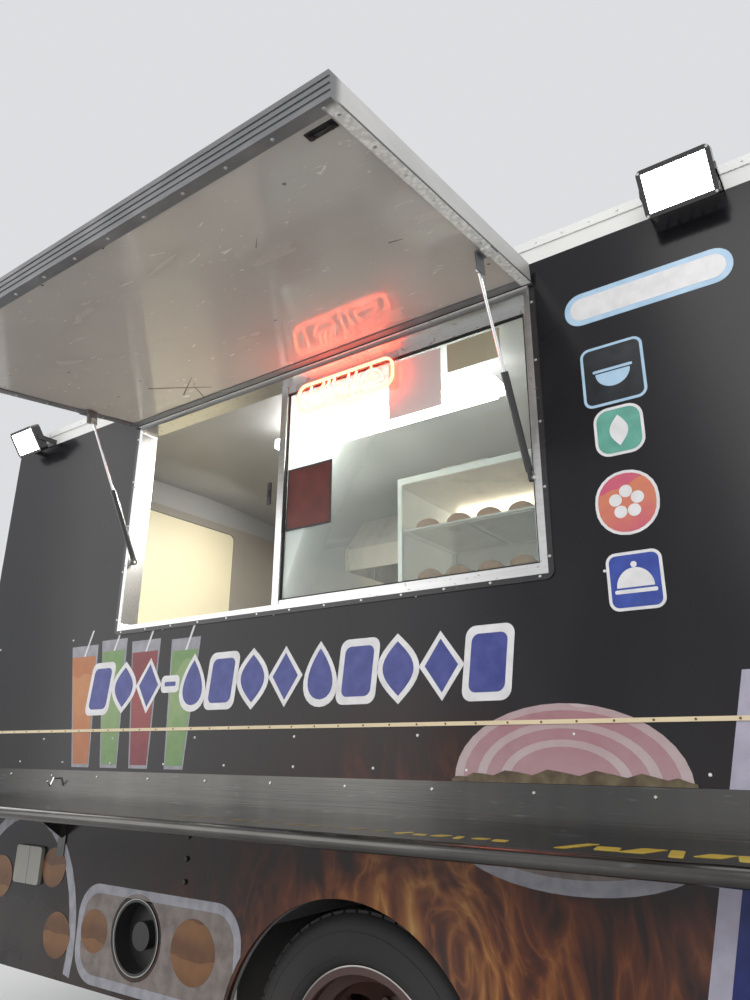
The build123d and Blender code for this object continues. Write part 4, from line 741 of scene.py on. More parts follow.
@dataclass(frozen=True)
class Film(Look):
    """Printed film of one ink, slightly uneven, under a glossy laminate."""

    ink: Colour
    second: Colour | None = None
    run: float = 0.0

    def draw(self, shader: Shader) -> Value:
        """Ink that runs into its second colour, with grime.

        Args:
            shader: Shader that takes the nodes.

        Returns:
            The surface to show.
        """
        mask = shader.noise(22.0, detail=5.0).ramp(0.3, 0.75)
        if self.run:
            wave = shader.noise(4.0, (1.0, 1.0, 0.2), detail=2.0)
            mask = (shader.z * self.run + wave).math("FRACT").ramp(0.2, 0.8) * 0.7 + mask * 0.3
        grime = shader.noise(3.0, detail=6.0).ramp(0.55, 0.85) * 0.25
        printed = shader.mix(mask, self.ink, self.second or shade(self.ink, 0.86))
        return shader.surface(Base_Color=shader.mix(grime, printed, (0.10, 0.10, 0.10)),
                              Roughness=0.22 + grime * 0.5, Specular_IOR_Level=0.32,
                              Normal=shader.bump(shader.noise(60.0), 0.05))


BLACK_PAINT = Finish("black_paint", (0.016, 0.016, 0.018), 0.28, coat=0.4, dust=0.35)
CHASSIS_PAINT = Finish("chassis_paint", (0.020, 0.020, 0.021), 0.6, grain=90.0, relief=0.3, dust=0.7)
WHITE_ROOF = Finish("white_roof", (0.74, 0.74, 0.72), 0.35, mottle=0.06, coat=0.2, scratches=0.2)
MARKER_LENS = Finish("marker_lens", (0.62, 0.13, 0.02), 0.18, coat=0.5)
STAINLESS = Finish("kitchen_stainless", (0.60, 0.57, 0.50), 0.30, 0.85, stretch=(1.0, 1.0, 0.03),
                   grain=260.0, mottle=0.34, mottle_size=9.0, spread=(1.0, 1.0, 0.07))
# Painted light: the warming cabinet is painted bright white to stand in for its brightly lit frame edges.
CABINET_PAINTED_LIT_WHITE = Finish("cabinet_painted_lit_white", (0.80, 0.80, 0.76), 0.3, 0.2, mottle=0.06)
# Painted shade and painted reflections: the shelf's steel gets a near-black base colour for the dark
# surroundings it mirrors, and its broad, strong mottle stands in for blurred pale reflections.
SHELF_STEEL_PAINTED_SHADE_AND_REFLECTIONS = Finish("shelf_stainless", (0.095, 0.092, 0.088), 0.17, 1.0, stretch=(0.02, 1.0, 1.0),
                     grain=260.0, mottle=0.62, mottle_size=4.0, spread=(1.0, 1.0, 0.15), scratches=0.16)
FLOOR_PLATE = Finish("floor_plate", (0.20, 0.20, 0.21), 0.5, 0.6, grain=60.0, relief=0.35, dust=0.4)
BLACK_PLASTIC = Finish("black_plastic", (0.022, 0.022, 0.024), 0.45, grain=700.0, relief=0.3)
BLACK_RUBBER = Finish("black_rubber", (0.018, 0.018, 0.018), 0.7, grain=500.0, relief=0.25, dust=0.2)
TYRE_RUBBER = Finish("tyre_rubber", (0.013, 0.013, 0.014), 0.75, grain=300.0, relief=0.3, dust=0.22,
                     dust_height=0.8)
WHEEL_PAINT = Finish("wheel_paint", (0.050, 0.017, 0.013), 0.4, grain=160.0, relief=0.25, dust=0.25)
PALE_LIP = Finish("pale_lip", (0.46, 0.44, 0.42), 0.35, 0.7, relief=0.2)
ZINC = Finish("zinc_heads", (0.58, 0.58, 0.56), 0.35, 1.0, grain=500.0)
# Real white on the dial ticks. On the side's small screws it is a painted glint: their heads are painted
# white to stand in for the highlights they catch.
WHITE_TICKS_AND_PAINTED_GLINTS = Finish("white_ticks_and_painted_glints", (0.72, 0.72, 0.70), 0.4, grain=500.0)
DARK_HEAD = Finish("dark_heads", (0.03, 0.03, 0.03), 0.4, 0.6, grain=500.0)
CHROME = Finish("chrome", (0.78, 0.78, 0.79), 0.08, 1.0, mottle=0.04, relief=0.02)
CAST_IRON = Finish("cast_iron", (0.09, 0.085, 0.08), 0.62, 0.6, grain=120.0, relief=0.6, dust=0.4)
TANK_METAL = Finish("tank_aluminium", (0.42, 0.42, 0.42), 0.4, 1.0, dust=0.6)
HOT_STEEL = Finish("exhaust_steel", (0.22, 0.17, 0.13), 0.55, 0.9, grain=90.0, relief=0.4,
                   mottle=0.35, dust=0.5)
FAN_METAL = Finish("fan_aluminium", (0.60, 0.61, 0.61), 0.42, 1.0, grain=120.0)
CAB_TRIM = Finish("cab_trim", (0.045, 0.045, 0.05), 0.6, grain=500.0, relief=0.4)
# Painted reflection: the belt's metal strip is painted cream to stand in for the yellowish reflection of
# light along it.
BELT_STRIP_PAINTED_REFLECTION = Finish("belt_strip_painted_reflection", (0.66, 0.55, 0.36), 0.45, grain=200.0, mottle=0.2)
BROWN_TICK = Finish("brown_ticks", (0.13, 0.075, 0.035), 0.6)
SCUFF_BLACK = Finish("scuff_black", (0.05, 0.045, 0.04), 0.6, relief=0.4)
GOLDEN_CRUST = Finish("golden_crust", (0.46, 0.22, 0.07), 0.6, mottle=0.5, mottle_size=40.0, relief=0.6)
PAPER = Finish("blank_paper", (0.82, 0.75, 0.73), 0.85, grain=300.0, mottle=0.05, relief=0.1)
OLIVE_PAPER = Finish("olive_paper", (0.52, 0.48, 0.34), 0.85, grain=300.0, mottle=0.08, relief=0.1)
RED_SHEET = Finish("dark_red_sheet", (0.125, 0.026, 0.020), 0.5, mottle=0.55, mottle_size=16.0)
MIRROR_GLASS = Finish("mirror_glass", (0.86, 0.87, 0.88), 0.03, 1.0, mottle=0.02, relief=0.01)
SEAT_VINYL = Finish("seat_vinyl", (0.03, 0.03, 0.034), 0.42, grain=260.0, relief=0.35)
PLATE_METAL = Finish("plate_metal", (0.62, 0.62, 0.60), 0.4, 0.4, mottle=0.08, dust=0.5)
CLEAR_GLASS = Pane("clear_glass")
CABINET_GLASS = Pane("cabinet_glass", (0.98, 0.98, 0.97), smear=0.05, body=0.02)
LAMP_LENS = Pane("lamp_lens", (0.95, 0.96, 0.98), smear=0.03, body=0.18)
NEON_RED = Glow("neon_red", (1.0, 0.10, 0.045), 15.0)
LAMP_WHITE = Glow("lamp_white", (1.0, 0.98, 0.94), 12.0)
FLOOD_WHITE = Glow("flood_white", (1.0, 0.98, 0.95), 14.0)
CABINET_GLOW = Glow("cabinet_glow", (1.0, 0.86, 0.66), 5.0)
WHITE_INK = Film("white_ink", (0.70, 0.69, 0.70))
NAVY_INK = Film("navy_ink", (0.040, 0.052, 0.21), (0.065, 0.075, 0.27))
ROYAL_INK = Film("royal_ink", (0.034, 0.058, 0.27), (0.05, 0.085, 0.36))
LILAC_INK = Film("lilac_ink", (0.40, 0.38, 0.47))
DEEP_INK = Film("deep_ink", (0.010, 0.017, 0.105), (0.016, 0.026, 0.15))
GREEN_INK = Film("green_ink", (0.13, 0.24, 0.085), (0.24, 0.33, 0.15), 3.0)
ORANGE_INK = Film("orange_ink", (0.38, 0.13, 0.045), (0.46, 0.20, 0.08), 3.0)
CRIMSON_INK = Film("crimson_ink", (0.17, 0.022, 0.032), (0.27, 0.055, 0.055), 3.0)
PINK_INK = Film("pink_ink", (0.50, 0.09, 0.17), (0.56, 0.20, 0.10), 5.0)
TEAL_INK = Film("teal_ink", (0.10, 0.30, 0.24), (0.14, 0.38, 0.30))
DARK_INK = Film("dark_ink", (0.012, 0.014, 0.016), (0.02, 0.024, 0.03))
SKY_INK = Film("sky_ink", (0.34, 0.50, 0.66), (0.42, 0.58, 0.72))
ONION_INK = Film("onion_ink", (0.46, 0.38, 0.39), (0.38, 0.27, 0.28), 4.0)
RING_INK = Film("ring_ink", (0.38, 0.24, 0.26), (0.31, 0.155, 0.175), 4.0)
PLATE_INK = Film("plate_ink", (0.30, 0.30, 0.33), (0.21, 0.21, 0.24))
DISH_INK = Film("dish_ink", (0.20, 0.17, 0.16), (0.12, 0.10, 0.09))
CRUST_INK = Film("crust_ink", (0.095, 0.042, 0.020), (0.19, 0.090, 0.036), 9.0)
LEAF_INK = Film("leaf_ink", (0.075, 0.050, 0.032), (0.16, 0.13, 0.075))
YELLOW_INK = Film("yellow_ink", (0.62, 0.42, 0.03), (0.70, 0.52, 0.08))
WORN_INK = Film("worn_ink", (0.24, 0.16, 0.03), (0.15, 0.11, 0.05))


# Meshes


def placed(name: str, data: bpy.types.ID) -> bpy.types.Object:
    """Puts a new object in the scene.

    Args:
        name: Name of the object.
        data: Its mesh, light or camera.

    Returns:
        The object.
    """
    made = bpy.data.objects.new(name, data)
    bpy.context.scene.collection.objects.link(made)
    return made


def baked(host: bpy.types.Object) -> bpy.types.Mesh:
    """Mesh of an object with its modifiers applied, which are then removed.

    Args:
        host: The object.

    Returns:
        The new mesh.
    """
    graph = bpy.context.evaluated_depsgraph_get()
    made = bpy.data.meshes.new_from_object(host.evaluated_get(graph))
    host.modifiers.clear()
    return made


def to_mesh(name: str, part: bmesh.types.BMesh) -> bpy.types.Mesh:
    """Turns a part, which is used up, into a mesh.

    Args:
        name: Name of the mesh.
        part: The part.

    Returns:
        The mesh.
    """
    made = bpy.data.meshes.new(name)
    part.to_mesh(made)
    part.free()
    return made


def spaced(start: float, end: float, pitch: float) -> list[float]:
    """Even steps from start to end, about a pitch apart, with both ends."""
    count = max(1, round(abs(end - start) / pitch))
    return [start + (end - start) * i / count for i in range(count + 1)]


def rounded(width: float, height: float, radius: float, steps: int = 6, lean: float = 0.0) -> Outline:
    """Outline of a rounded rectangle about its middle.

    Args:
        width: Width of the rectangle.
        height: Height of the rectangle.
        radius: Radius of its corners.
        steps: Steps in each corner.
        lean: How far a point moves sideways for each metre of height.

    Returns:
        Points anticlockwise.
    """
    points = []
    for sign_a, sign_b, start in ((1, 1, 0.0), (-1, 1, 0.5), (-1, -1, 1.0), (1, -1, 1.5)):
        for step in range(steps + 1):
            angle = math.pi * (start + 0.5 * step / steps)
            a = sign_a * (width / 2 - radius) + radius * math.cos(angle)
            b = sign_b * (height / 2 - radius) + radius * math.sin(angle)
            points.append((a + lean * b, b))
    return points


def ellipse(width: float, height: float, start: float = 0.0, end: float = 1.0,
            steps: int = 40) -> Outline:
    """Outline of an ellipse or of a part of one.

    Args:
        width: Whole width.
        height: Whole height.
        start: Where it starts, in turns from its right.
        end: Where it ends, in turns.
        steps: Steps of a whole turn.

    Returns:
        Points anticlockwise.
    """
    count = max(6, int(steps * (end - start)))
    last = count if end - start < 1.0 else count - 1
    turns = [start + (end - start) * i / count for i in range(last + 1)]
    return [(width / 2 * math.cos(FULL_TURN * t), height / 2 * math.sin(FULL_TURN * t))
            for t in turns]


class Motif(Enum):
    """Plain shapes that stand where the truck carries its number."""

    BLOCK = "leaning rounded block"
    LEAF = "upright leaf"
    LOZENGE = "lozenge"
    DASH = "short rounded bar"
    DROP = "drop"

    def outline(self, width: float, height: float) -> Outline:
        """Outline of the motif about its middle.

        Args:
            width: Its width.
            height: Its height.

        Returns:
            Points anticlockwise.
        """
        if self is Motif.BLOCK:
            return rounded(width, height, width * 0.2, lean=0.12)
        if self is Motif.DASH:
            return rounded(width, height, min(width, height) * 0.3)
        if self is Motif.LOZENGE:
            return [(width / 2, 0.0), (0.0, height / 2), (-width / 2, 0.0), (0.0, -height / 2)]
        if self is Motif.DROP:
            turns = [FULL_TURN * k / 28 for k in range(28)]
            return [(-width * 0.60 * math.sin(t) * math.sin(t / 2), height / 2 * math.cos(t))
                    for t in turns]
        side = [(width / 2 * math.sin(math.pi * k / 12), height * (k / 12 - 0.5)) for k in range(13)]
        return side + [(-a, b) for a, b in reversed(side[1:-1])]


class Piece:
    """A mesh in the truck's own coordinates that is being put together."""

    def __init__(self, name: str, shop: Workshop) -> None:
        """Starts an empty piece.

        Args:
            name: Name of the piece.
            shop: Hands out the materials and the repeating trees.
        """
        self.name, self.shop = name, shop
        self.mesh = bmesh.new()
        self.slots: dict[bpy.types.Material, int] = {}

    def _slot(self, look: Look) -> int:
        """Index of a look's material on this piece, added where it is new."""
        return self.slots.setdefault(self.shop.material(look), len(self.slots))

    def _take(self, part: bmesh.types.BMesh, look: Look, bevel: float = 0.0,
              smooth: bool = False) -> None:
        """Adds a closed part to the piece.

        Args:
            part: The part, which is used up.
            look: Its look.
            bevel: Width of its softened edges.
            smooth: Whether its faces are shaded smooth.
        """
        bmesh.ops.remove_doubles(part, verts=part.verts, dist=1e-6)
        bmesh.ops.recalc_face_normals(part, faces=part.faces)
        if bevel:
            edges = [e for e in part.edges if e.calc_face_angle(0.0) > 0.5]
            bmesh.ops.bevel(part, geom=edges, offset=bevel, segments=2, affect="EDGES",
                            profile=0.7, clamp_overlap=True)
        slot = self._slot(look)
        for face in part.faces:
            face.material_index = slot
            face.smooth = smooth
        spare = to_mesh("spare", part)
        self.mesh.from_mesh(spare)
        bpy.data.meshes.remove(spare)

    def block(self, low: Point, high: Point, look: Look, bevel: float = 0.0) -> None:
        """Adds a box between two corners, with softened edges.

        Args:
            low: Lowest corner.
            high: Highest corner.
            look: Its look.
            bevel: Width of its softened edges.
        """
        part = bmesh.new()
        bmesh.ops.create_cube(part, size=1.0)
        middle, size = (Vector(low) + Vector(high)) / 2, Vector(high) - Vector(low)
        matrix = Matrix.Translation(middle) @ Matrix.Diagonal((*size, 1.0))
        bmesh.ops.transform(part, matrix=matrix, verts=part.verts)
        self._take(part, look, bevel)

    def rod(self, start: Point, end: Point, radius: float, look: Look, segments: int = 20,
            bevel: float = 0.0) -> None:
        """Adds a round bar between two points.

        Args:
            start: First end.
            end: Second end.
            radius: Its radius.
            look: Its look.
            segments: Sides of the bar.
            bevel: Width of its softened ends.
        """
        along = Vector(end) - Vector(start)
        part = bmesh.new()
        bmesh.ops.create_cone(part, cap_ends=True, segments=segments, radius1=radius,
                              radius2=radius, depth=along.length)
        turn = along.to_track_quat("Z", "Y").to_matrix().to_4x4()
        matrix = Matrix.Translation((Vector(start) + Vector(end)) / 2) @ turn
        bmesh.ops.transform(part, matrix=matrix, verts=part.verts)
        self._take(part, look, bevel, smooth=segments > 8)

    def prism(self, base: list[Point], along: Point, look: Look, bevel: float = 0.0) -> None:
        """Adds a flat outline in space that is drawn out along a vector.

        Args:
            base: Points of the outline.
            along: The vector.
            look: Its look.
            bevel: Width of its softened edges.
        """
        part = bmesh.new()
        low = [part.verts.new(point) for point in base]
        high = [part.verts.new(Vector(point) + Vector(along)) for point in base]
        part.faces.new(low[::-1])
        part.faces.new(high)
        for i in range(len(base)):
            j = (i + 1) % len(base)
            part.faces.new((low[i], low[j], high[j], high[i]))
        self._take(part, look, bevel)

    def plate(self, outline: Outline, origin: Point, way: Way, thickness: float, look: Look) -> None:
        """Adds a flat convex outline with a thickness.

        Args:
            outline: Points across and along the way's own axes.
            origin: Where the outline's own origin is.
            way: Which way it faces.
            thickness: How far it stands out from its origin.
            look: Its look.
        """
        across, along, out = way.axes
        base = [Vector(origin) + across * a + along * b for a, b in outline]
        self.prism(base, out * thickness, look)

    def sheet(self, loops: list[Outline], origin: Point, way: Way, thickness: float,
              look: Look) -> None:
        """Adds a thin flat sheet that may have holes.

        Args:
            loops: Its outline and the outlines of its holes, across and along the way's own axes.
            origin: Where the outline's own origin is.
            way: Which way it faces.
            thickness: How thick it is.
            look: Its look.
        """
        across, along, out = way.axes
        part = bmesh.new()
        levels = [[[part.verts.new(Vector(origin) + across * a + along * b + out * lift)
                    for a, b in loop] for loop in loops] for lift in (0.0, thickness)]
        flat = [[vert for loop in level for vert in loop] for level in levels]
        for corners in tessellate_polygon([[Vector((a, b, 0.0)) for a, b in loop] for loop in loops]):
            for level in flat:
                part.faces.new([level[corner] for corner in corners])
        for low, high in zip(*levels):
            for i in range(len(low)):
                j = (i + 1) % len(low)
                part.faces.new((low[i], low[j], high[j], high[i]))
        self._take(part, look)

    def loaf(self, foot: Point, half: Point, look: Look) -> None:
        """Adds a domed roll with a flat foot.

        Args:
            foot: Middle of its foot.
            half: Its half length, half width and height.
            look: Its look.
        """
        part = bmesh.new()
        bmesh.ops.create_uvsphere(part, u_segments=14, v_segments=9, radius=1.0)
        for vert in part.verts:
            x, y, z = vert.co
            lift = max(z + 0.35, 0.0) / 1.35
            vert.co = Vector((foot[0] + x * half[0], foot[1] + y * half[1], foot[2] + lift * half[2]))
        self._take(part, look, smooth=True)

    def lathe(self, profile: Outline, origin: Point, axis: Point, look: Look,
              segments: int = 96) -> None:
        """Adds a body turned about a line.

        Args:
            profile: Closed outline of (radius, distance along the line) points.
            origin: Point on the line.
            axis: Direction of the line.
            look: Its look.
            segments: Steps round the line.
        """
        part = bmesh.new()
        turn = Vector(axis).to_track_quat("Z", "Y").to_matrix().to_4x4()
        matrix = Matrix.Translation(Vector(origin)) @ turn
        rings = []
        for i in range(segments):
            angle = FULL_TURN * i / segments
            rings.append([part.verts.new(matrix @ Vector((
                r * math.cos(angle), r * math.sin(angle), d))) for r, d in profile])
        for ring, following in zip(rings, rings[1:] + rings[:1]):
            for k in range(len(profile)):
                m = (k + 1) % len(profile)
                part.faces.new((ring[k], following[k], following[m], ring[m]))
        self._take(part, look, smooth=True)

    def add_mesh(self, mesh: bpy.types.Mesh, look: Look) -> None:
        """Adds a mesh that is already in the truck's own coordinates.

        Args:
            mesh: The mesh, which is used up.
            look: Its look.
        """
        slot = self._slot(look)
        for polygon in mesh.polygons:
            polygon.material_index = slot
        self.mesh.from_mesh(mesh)
        bpy.data.meshes.remove(mesh)

    def heads(self, points: list[Point], way: Way, radius: float, height: float, look: Look,
              sides: int = 10, taper: float = 0.7) -> None:
        """Adds a screw, rivet or nut head at each point.

        Args:
            points: Where the heads sit.
            way: Which way they face.
            radius: Radius of a head at its foot.
            height: Height of a head.
            look: Their look.
            sides: Sides of a head.
            taper: Share of the radius at a head's top.
        """
        mesh = bpy.data.meshes.new("points")
        mesh.from_pydata([Vector(point) for point in points], [], [])
        self.add_mesh(self.shop.heads.apply(mesh, {
            "Radius": radius, "Top Radius": radius * taper, "Height": height, "Sides": sides,
            "Turn": way.turn, "Seed": 3, "Material": self.shop.material(look)}), look)

    def done(self, slot: str, body: str = "truck", replaces: tuple[str, ...] = (),
             flat_angle: float | None = 0.7) -> bpy.types.Object:
        """Puts the piece in the scene and lets it ride on its body.

        Args:
            slot: The record's material slot; not used.
            body: Name of the CAD body that carries it.
            replaces: CAD nodes that it stands for.
            flat_angle: Angle over which a smooth edge is drawn sharp.

        Returns:
            The piece's object.
        """
        self.mesh.transform(Matrix.Translation(self.shop.place.offset))
        if flat_angle is not None:
            for edge in self.mesh.edges:
                if edge.calc_face_angle(0.0) > flat_angle:
                    edge.smooth = False
        mesh = to_mesh(self.name, self.mesh)
        for material in self.slots:
            mesh.materials.append(material)
        made = placed(self.name, mesh)
        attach(made, body)
        if replaces:
            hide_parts(*replaces)
        LOG.info("%s: %d faces on %s", self.name, len(mesh.polygons), body)
        return made


# Geometry Nodes


class Repeater(Graph):
    """Geometry Nodes tree with named inputs that turns a host mesh into a plain one."""

    def __init__(self, name: str, inputs: dict[str, str]) -> None:
        """Starts the tree.

        Args:
            name: Name of the tree.
            inputs: Kind of each further input by its name.
        """
        super().__init__(bpy.data.node_groups.new(name, "GeometryNodeTree"))
        face = self.tree.interface
        for way in ("INPUT", "OUTPUT"):
            face.new_socket("Geometry", in_out=way, socket_type="NodeSocketGeometry")
        self.sockets = {
            key: face.new_socket(key, in_out="INPUT", socket_type=f"NodeSocket{kind}").identifier
            for key, kind in inputs.items()}
        self.given = self.tree.nodes.new("NodeGroupInput").outputs

    def take(self, name: str) -> Value:
        """One of the tree's inputs."""
        return Value(self, self.given[name])

    def end(self, copies: Value) -> None:
        """Makes the instances real, gives them the material and hands them over."""
        real = self.node("GeometryNodeRealizeInstances", None, {0: copies})
        dressed = self.node("GeometryNodeSetMaterial", None, {
            "Geometry": real, "Material": self.take("Material")})
        self.feed(self.tree.nodes.new("NodeGroupOutput").inputs[0], dressed)

    def apply(self, mesh: bpy.types.Mesh, values: dict[str, object]) -> bpy.types.Mesh:
        """Runs the tree on a mesh.

        Args:
            mesh: The host mesh.
            values: Values of the tree's inputs.

        Returns:
            The plain mesh that comes out.
        """
        host = placed(self.tree.name, mesh)
        modifier = host.modifiers.new("repeat", "NODES")
        modifier.node_group = self.tree
        for name, value in values.items():
            modifier[self.sockets[name]] = value
        made = baked(host)
        bpy.data.objects.remove(host)
        return made


class Heads(Repeater):
    """Puts a screw, rivet or nut head at each vertex of a mesh, each turned at random."""

    def __init__(self) -> None:
        """Builds the tree."""
        super().__init__("heads_at_points", {
            "Radius": "Float", "Top Radius": "Float", "Height": "Float", "Sides": "Int",
            "Turn": "Rotation", "Seed": "Int", "Material": "Material"})
        cone = self.node("GeometryNodeMeshCone", None, {
            "Radius Bottom": self.take("Radius"), "Radius Top": self.take("Top Radius"),
            "Depth": self.take("Height"), "Vertices": self.take("Sides")})
        heads = self.node("GeometryNodeInstanceOnPoints", None, {
            "Points": self.take("Geometry"), "Instance": cone, "Rotation": self.take("Turn")})
        chance = self.node("FunctionNodeRandomValue", {"data_type": "FLOAT_VECTOR"}, {
            "Min": (0.0, 0.0, 0.0), "Max": (0.0, 0.0, FULL_TURN), "Seed": self.take("Seed")})
        self.end(self.node("GeometryNodeRotateInstances", None, {
            "Instances": heads, "Rotation": chance}))


class Ring(Repeater):
    """Repeats a mesh round the truck's Y axis."""

    def __init__(self) -> None:
        """Builds the tree."""
        super().__init__("ring_of_copies", {"Count": "Int", "Material": "Material"})
        points = self.node("GeometryNodeMeshLine", {"mode": "OFFSET"}, {
            "Offset": (0.0, 0.0, 0.0), "Count": self.take("Count")})
        turn = self.node("GeometryNodeInputIndex") / self.take("Count") * FULL_TURN
        self.end(self.node("GeometryNodeInstanceOnPoints", None, {
            "Points": points, "Instance": self.take("Geometry"),
            "Rotation": self.combine(0.0, turn, 0.0)}))


@dataclass
class Workshop:
    """What every sub-assembly needs: the place, the CAD nodes, the materials and the repeaters."""

    place: Place
    nodes: dict[str, bpy.types.Object]
    made: dict[Look, bpy.types.Material] = field(default_factory=dict)
    heads: Heads = field(default_factory=Heads)
    ring: Ring = field(default_factory=Ring)

    def material(self, look: Look) -> bpy.types.Material:
        """Material of a look, the same one each time.

        Args:
            look: The look.

        Returns:
            Its material.
        """
        if look not in self.made:
            self.made[look] = look.build(self.place)
        return self.made[look]

    def paint(self, look: Look, nodes: tuple[str, ...]) -> None:
        """Gives CAD nodes a look.

        Args:
            look: The look.
            nodes: Names of the CAD nodes.
        """
        material = self.material(look)
        for name in nodes:
            materials = self.nodes[name].data.materials
            if not materials:
                materials.append(material)
            for index in range(len(materials)):
                materials[index] = material
            LOG.info("%s: %s", name, look.name)

    def piece(self, name: str) -> Piece:
        """Starts a piece."""
        return Piece(name, self)


@dataclass
class Assembly:
    """Sub-assembly that gives CAD nodes their looks and adds pieces to them."""

    looks = {}
    shop: Workshop

    def build(self) -> None:
        """Paints the CAD nodes, then adds the pieces."""
        for look, nodes in self.looks.items():
            self.shop.paint(look, nodes)
        self.add()

    def add(self) -> None:
        """Adds the pieces in order."""
        raise NotImplementedError


# Sub-assemblies


@dataclass
class BodyShell(Assembly):
    """Walls, roof, floor, glass and the outer trim of the body."""

    looks = {
        Wrap("side_wrap"): ("kerb_side", "street_side"),
        Wrap("front_wrap", inside_y=0.0): ("front_panel",),
        RearPaint("rear_wrap"): ("rear_wall",),
        RearPaint("rear_door_wrap", (0.80, 0.74, 0.54)): ("rear_door",),
        RoofPaint("roof_paint"): ("roof",),
        FLOOR_PLATE: ("floor",),
        CLEAR_GLASS: ("fixed_glass",),
        CHROME: ("grille",),
        LAMP_LENS: ("headlamps",),
        BLACK_PAINT: ("bumpers",),
        BLACK_PLASTIC: ("mirrors",),
        FAN_METAL: ("roof_fan",),
        MARKER_LENS: ("marker_lamps",),
    }
    eave_y: Pair = (1.1802, 1.1835)
    rivet_pitch: float = 0.085
    flood_x: Pair = (-1.950, 1.150)
    flood_y: float = -1.268
    flood_z: float = 2.700
    flood_tilt: float = 35.0
    lamp_x: float = 4.8875
    lamp_y: float = 0.720
    lamp_z: float = 0.985
    mirror_face: Point = (4.4718, 1.395, 2.025)
    plate_x: float = -2.330
    plate_z: float = 0.560
    nose_x: float = 4.900
    nose_z: float = 1.360
    nose_lean: float = 0.1688
    wiper_y: float = 0.820
    wiper_z: float = 1.440
    fan: Pair = (-0.450, 0.620)
    blades: int = 24

    def roof_edges(self) -> None:
        """Gutter strip with its rivets along both eaves."""
        for side in Side:
            piece = self.shop.piece(f"eave_strip_{side.name.lower()}")
            low, high = sorted(side.value * y for y in self.eave_y)
            piece.block((-2.12, low, 2.742), (4.30, high, 2.772), WHITE_ROOF, bevel=0.001)
            places = spaced(-2.08, 4.26, self.rivet_pitch)
            rivets = [(x, side.value * self.eave_y[1], 2.757) for x in places]
            piece.heads(rivets, side.way, 0.004, 0.003, WHITE_ROOF, sides=8)
            piece.done("roof_paint")

    def flood_lenses(self) -> None:
        """Lit lens and four screws in each flood lamp's sunk front."""
        piece = self.shop.piece("flood_lenses")
        angle = math.radians(self.flood_tilt)
        out = Vector((0.0, -math.cos(angle), -math.sin(angle)))
        up = Vector((0.0, -math.sin(angle), math.cos(angle)))
        for x in self.flood_x:
            centre = Vector((x, self.flood_y, self.flood_z)) + out * 0.0171
            base = [centre + Vector((0.082, 0.0, 0.0)) * a + up * 0.052 * b
                    for a, b in ((-1, -1), (1, -1), (1, 1), (-1, 1))]
            piece.prism(base, out * 0.0032, FLOOD_WHITE)
            for a in (-0.088, 0.088):
                for b in (-0.058, 0.058):
                    foot = centre + Vector((a, 0.0, 0.0)) + up * b + out * 0.0048
                    piece.rod(foot, foot + out * 0.0022, 0.004, ZINC, 8)
        piece.done("flood_lamp_black")

    def cab_lamps(self) -> None:
        """Bright bowl and bulb inside each headlamp, and the faces of both mirrors."""
        piece = self.shop.piece("headlamp_bowls")
        bowl = [(0.012, -0.026), (0.045, -0.023), (0.070, -0.014), (0.086, 0.0), (0.0845, 0.0012),
                (0.068, -0.0125), (0.044, -0.0215), (0.012, -0.0245)]
        for side in Side:
            x, y, z = centre = (self.lamp_x, side.value * self.lamp_y, self.lamp_z)
            piece.lathe(bowl, centre, (1.0, 0.0, 0.0), CHROME, 40)
            piece.rod((x - 0.025, y, z), (x + 0.006, y, z), 0.011, PALE_LIP, 16, bevel=0.003)
        piece.done("lamp_lens")
        piece = self.shop.piece("mirror_faces")
        x, y, z = self.mirror_face
        for side in Side:
            piece.plate(rounded(0.146, 0.366, 0.026), (x, side.value * y, z), Way.REAR, 0.0016, MIRROR_GLASS)
        piece.done("mirror_black")

    def rear_plate(self) -> None:
        """Bare plate with its two bolts on the rear bumper."""
        piece = self.shop.piece("rear_plate")
        x, z = self.plate_x, self.plate_z
        piece.plate(rounded(0.300, 0.150, 0.012), (x - 0.0002, 0.0, z), Way.REAR, 0.0008, PLATE_METAL)
        piece.plate(rounded(0.286, 0.136, 0.009), (x - 0.0010, 0.0, z), Way.REAR, 0.0003, PAPER)
        bolts = [(x - 0.0012, y, z) for y in (-0.089, 0.089)]
        piece.heads(bolts, Way.REAR, 0.0065, 0.0015, ZINC, sides=6, taper=0.95)
        piece.done("bumper_steel")

    def nose(self, y: float, z: float, lift: float) -> Point:
        """Point in front of the leaning windshield, by its place across, its height and its lift."""
        return (self.nose_x - (z - self.nose_z) * self.nose_lean + lift, y, z)

    def wipers(self) -> None:
        """Two parked wipers that lie along the windshield's panes."""
        piece = self.shop.piece("wipers")
        for side in Side:
            sign, y, z = side.value, side.value * self.wiper_y, self.wiper_z
            piece.rod(self.nose(y, z, 0.0), self.nose(y, z, 0.026), 0.013, BLACK_PLASTIC, 16, bevel=0.002)
            elbow = self.nose(sign * 0.500, 1.520, 0.016)
            piece.rod(self.nose(y, z, 0.020), elbow, 0.006, BLACK_PLASTIC, 10)
            ends = self.nose(sign * 0.840, 1.545, 0.009), self.nose(sign * 0.180, 1.505, 0.009)
            piece.rod(*ends, 0.005, BLACK_PLASTIC, 10)
            piece.rod(*((a - 0.007, b, c) for a, b, c in ends), 0.0035, BLACK_RUBBER, 8)
        piece.done("fitting_black")

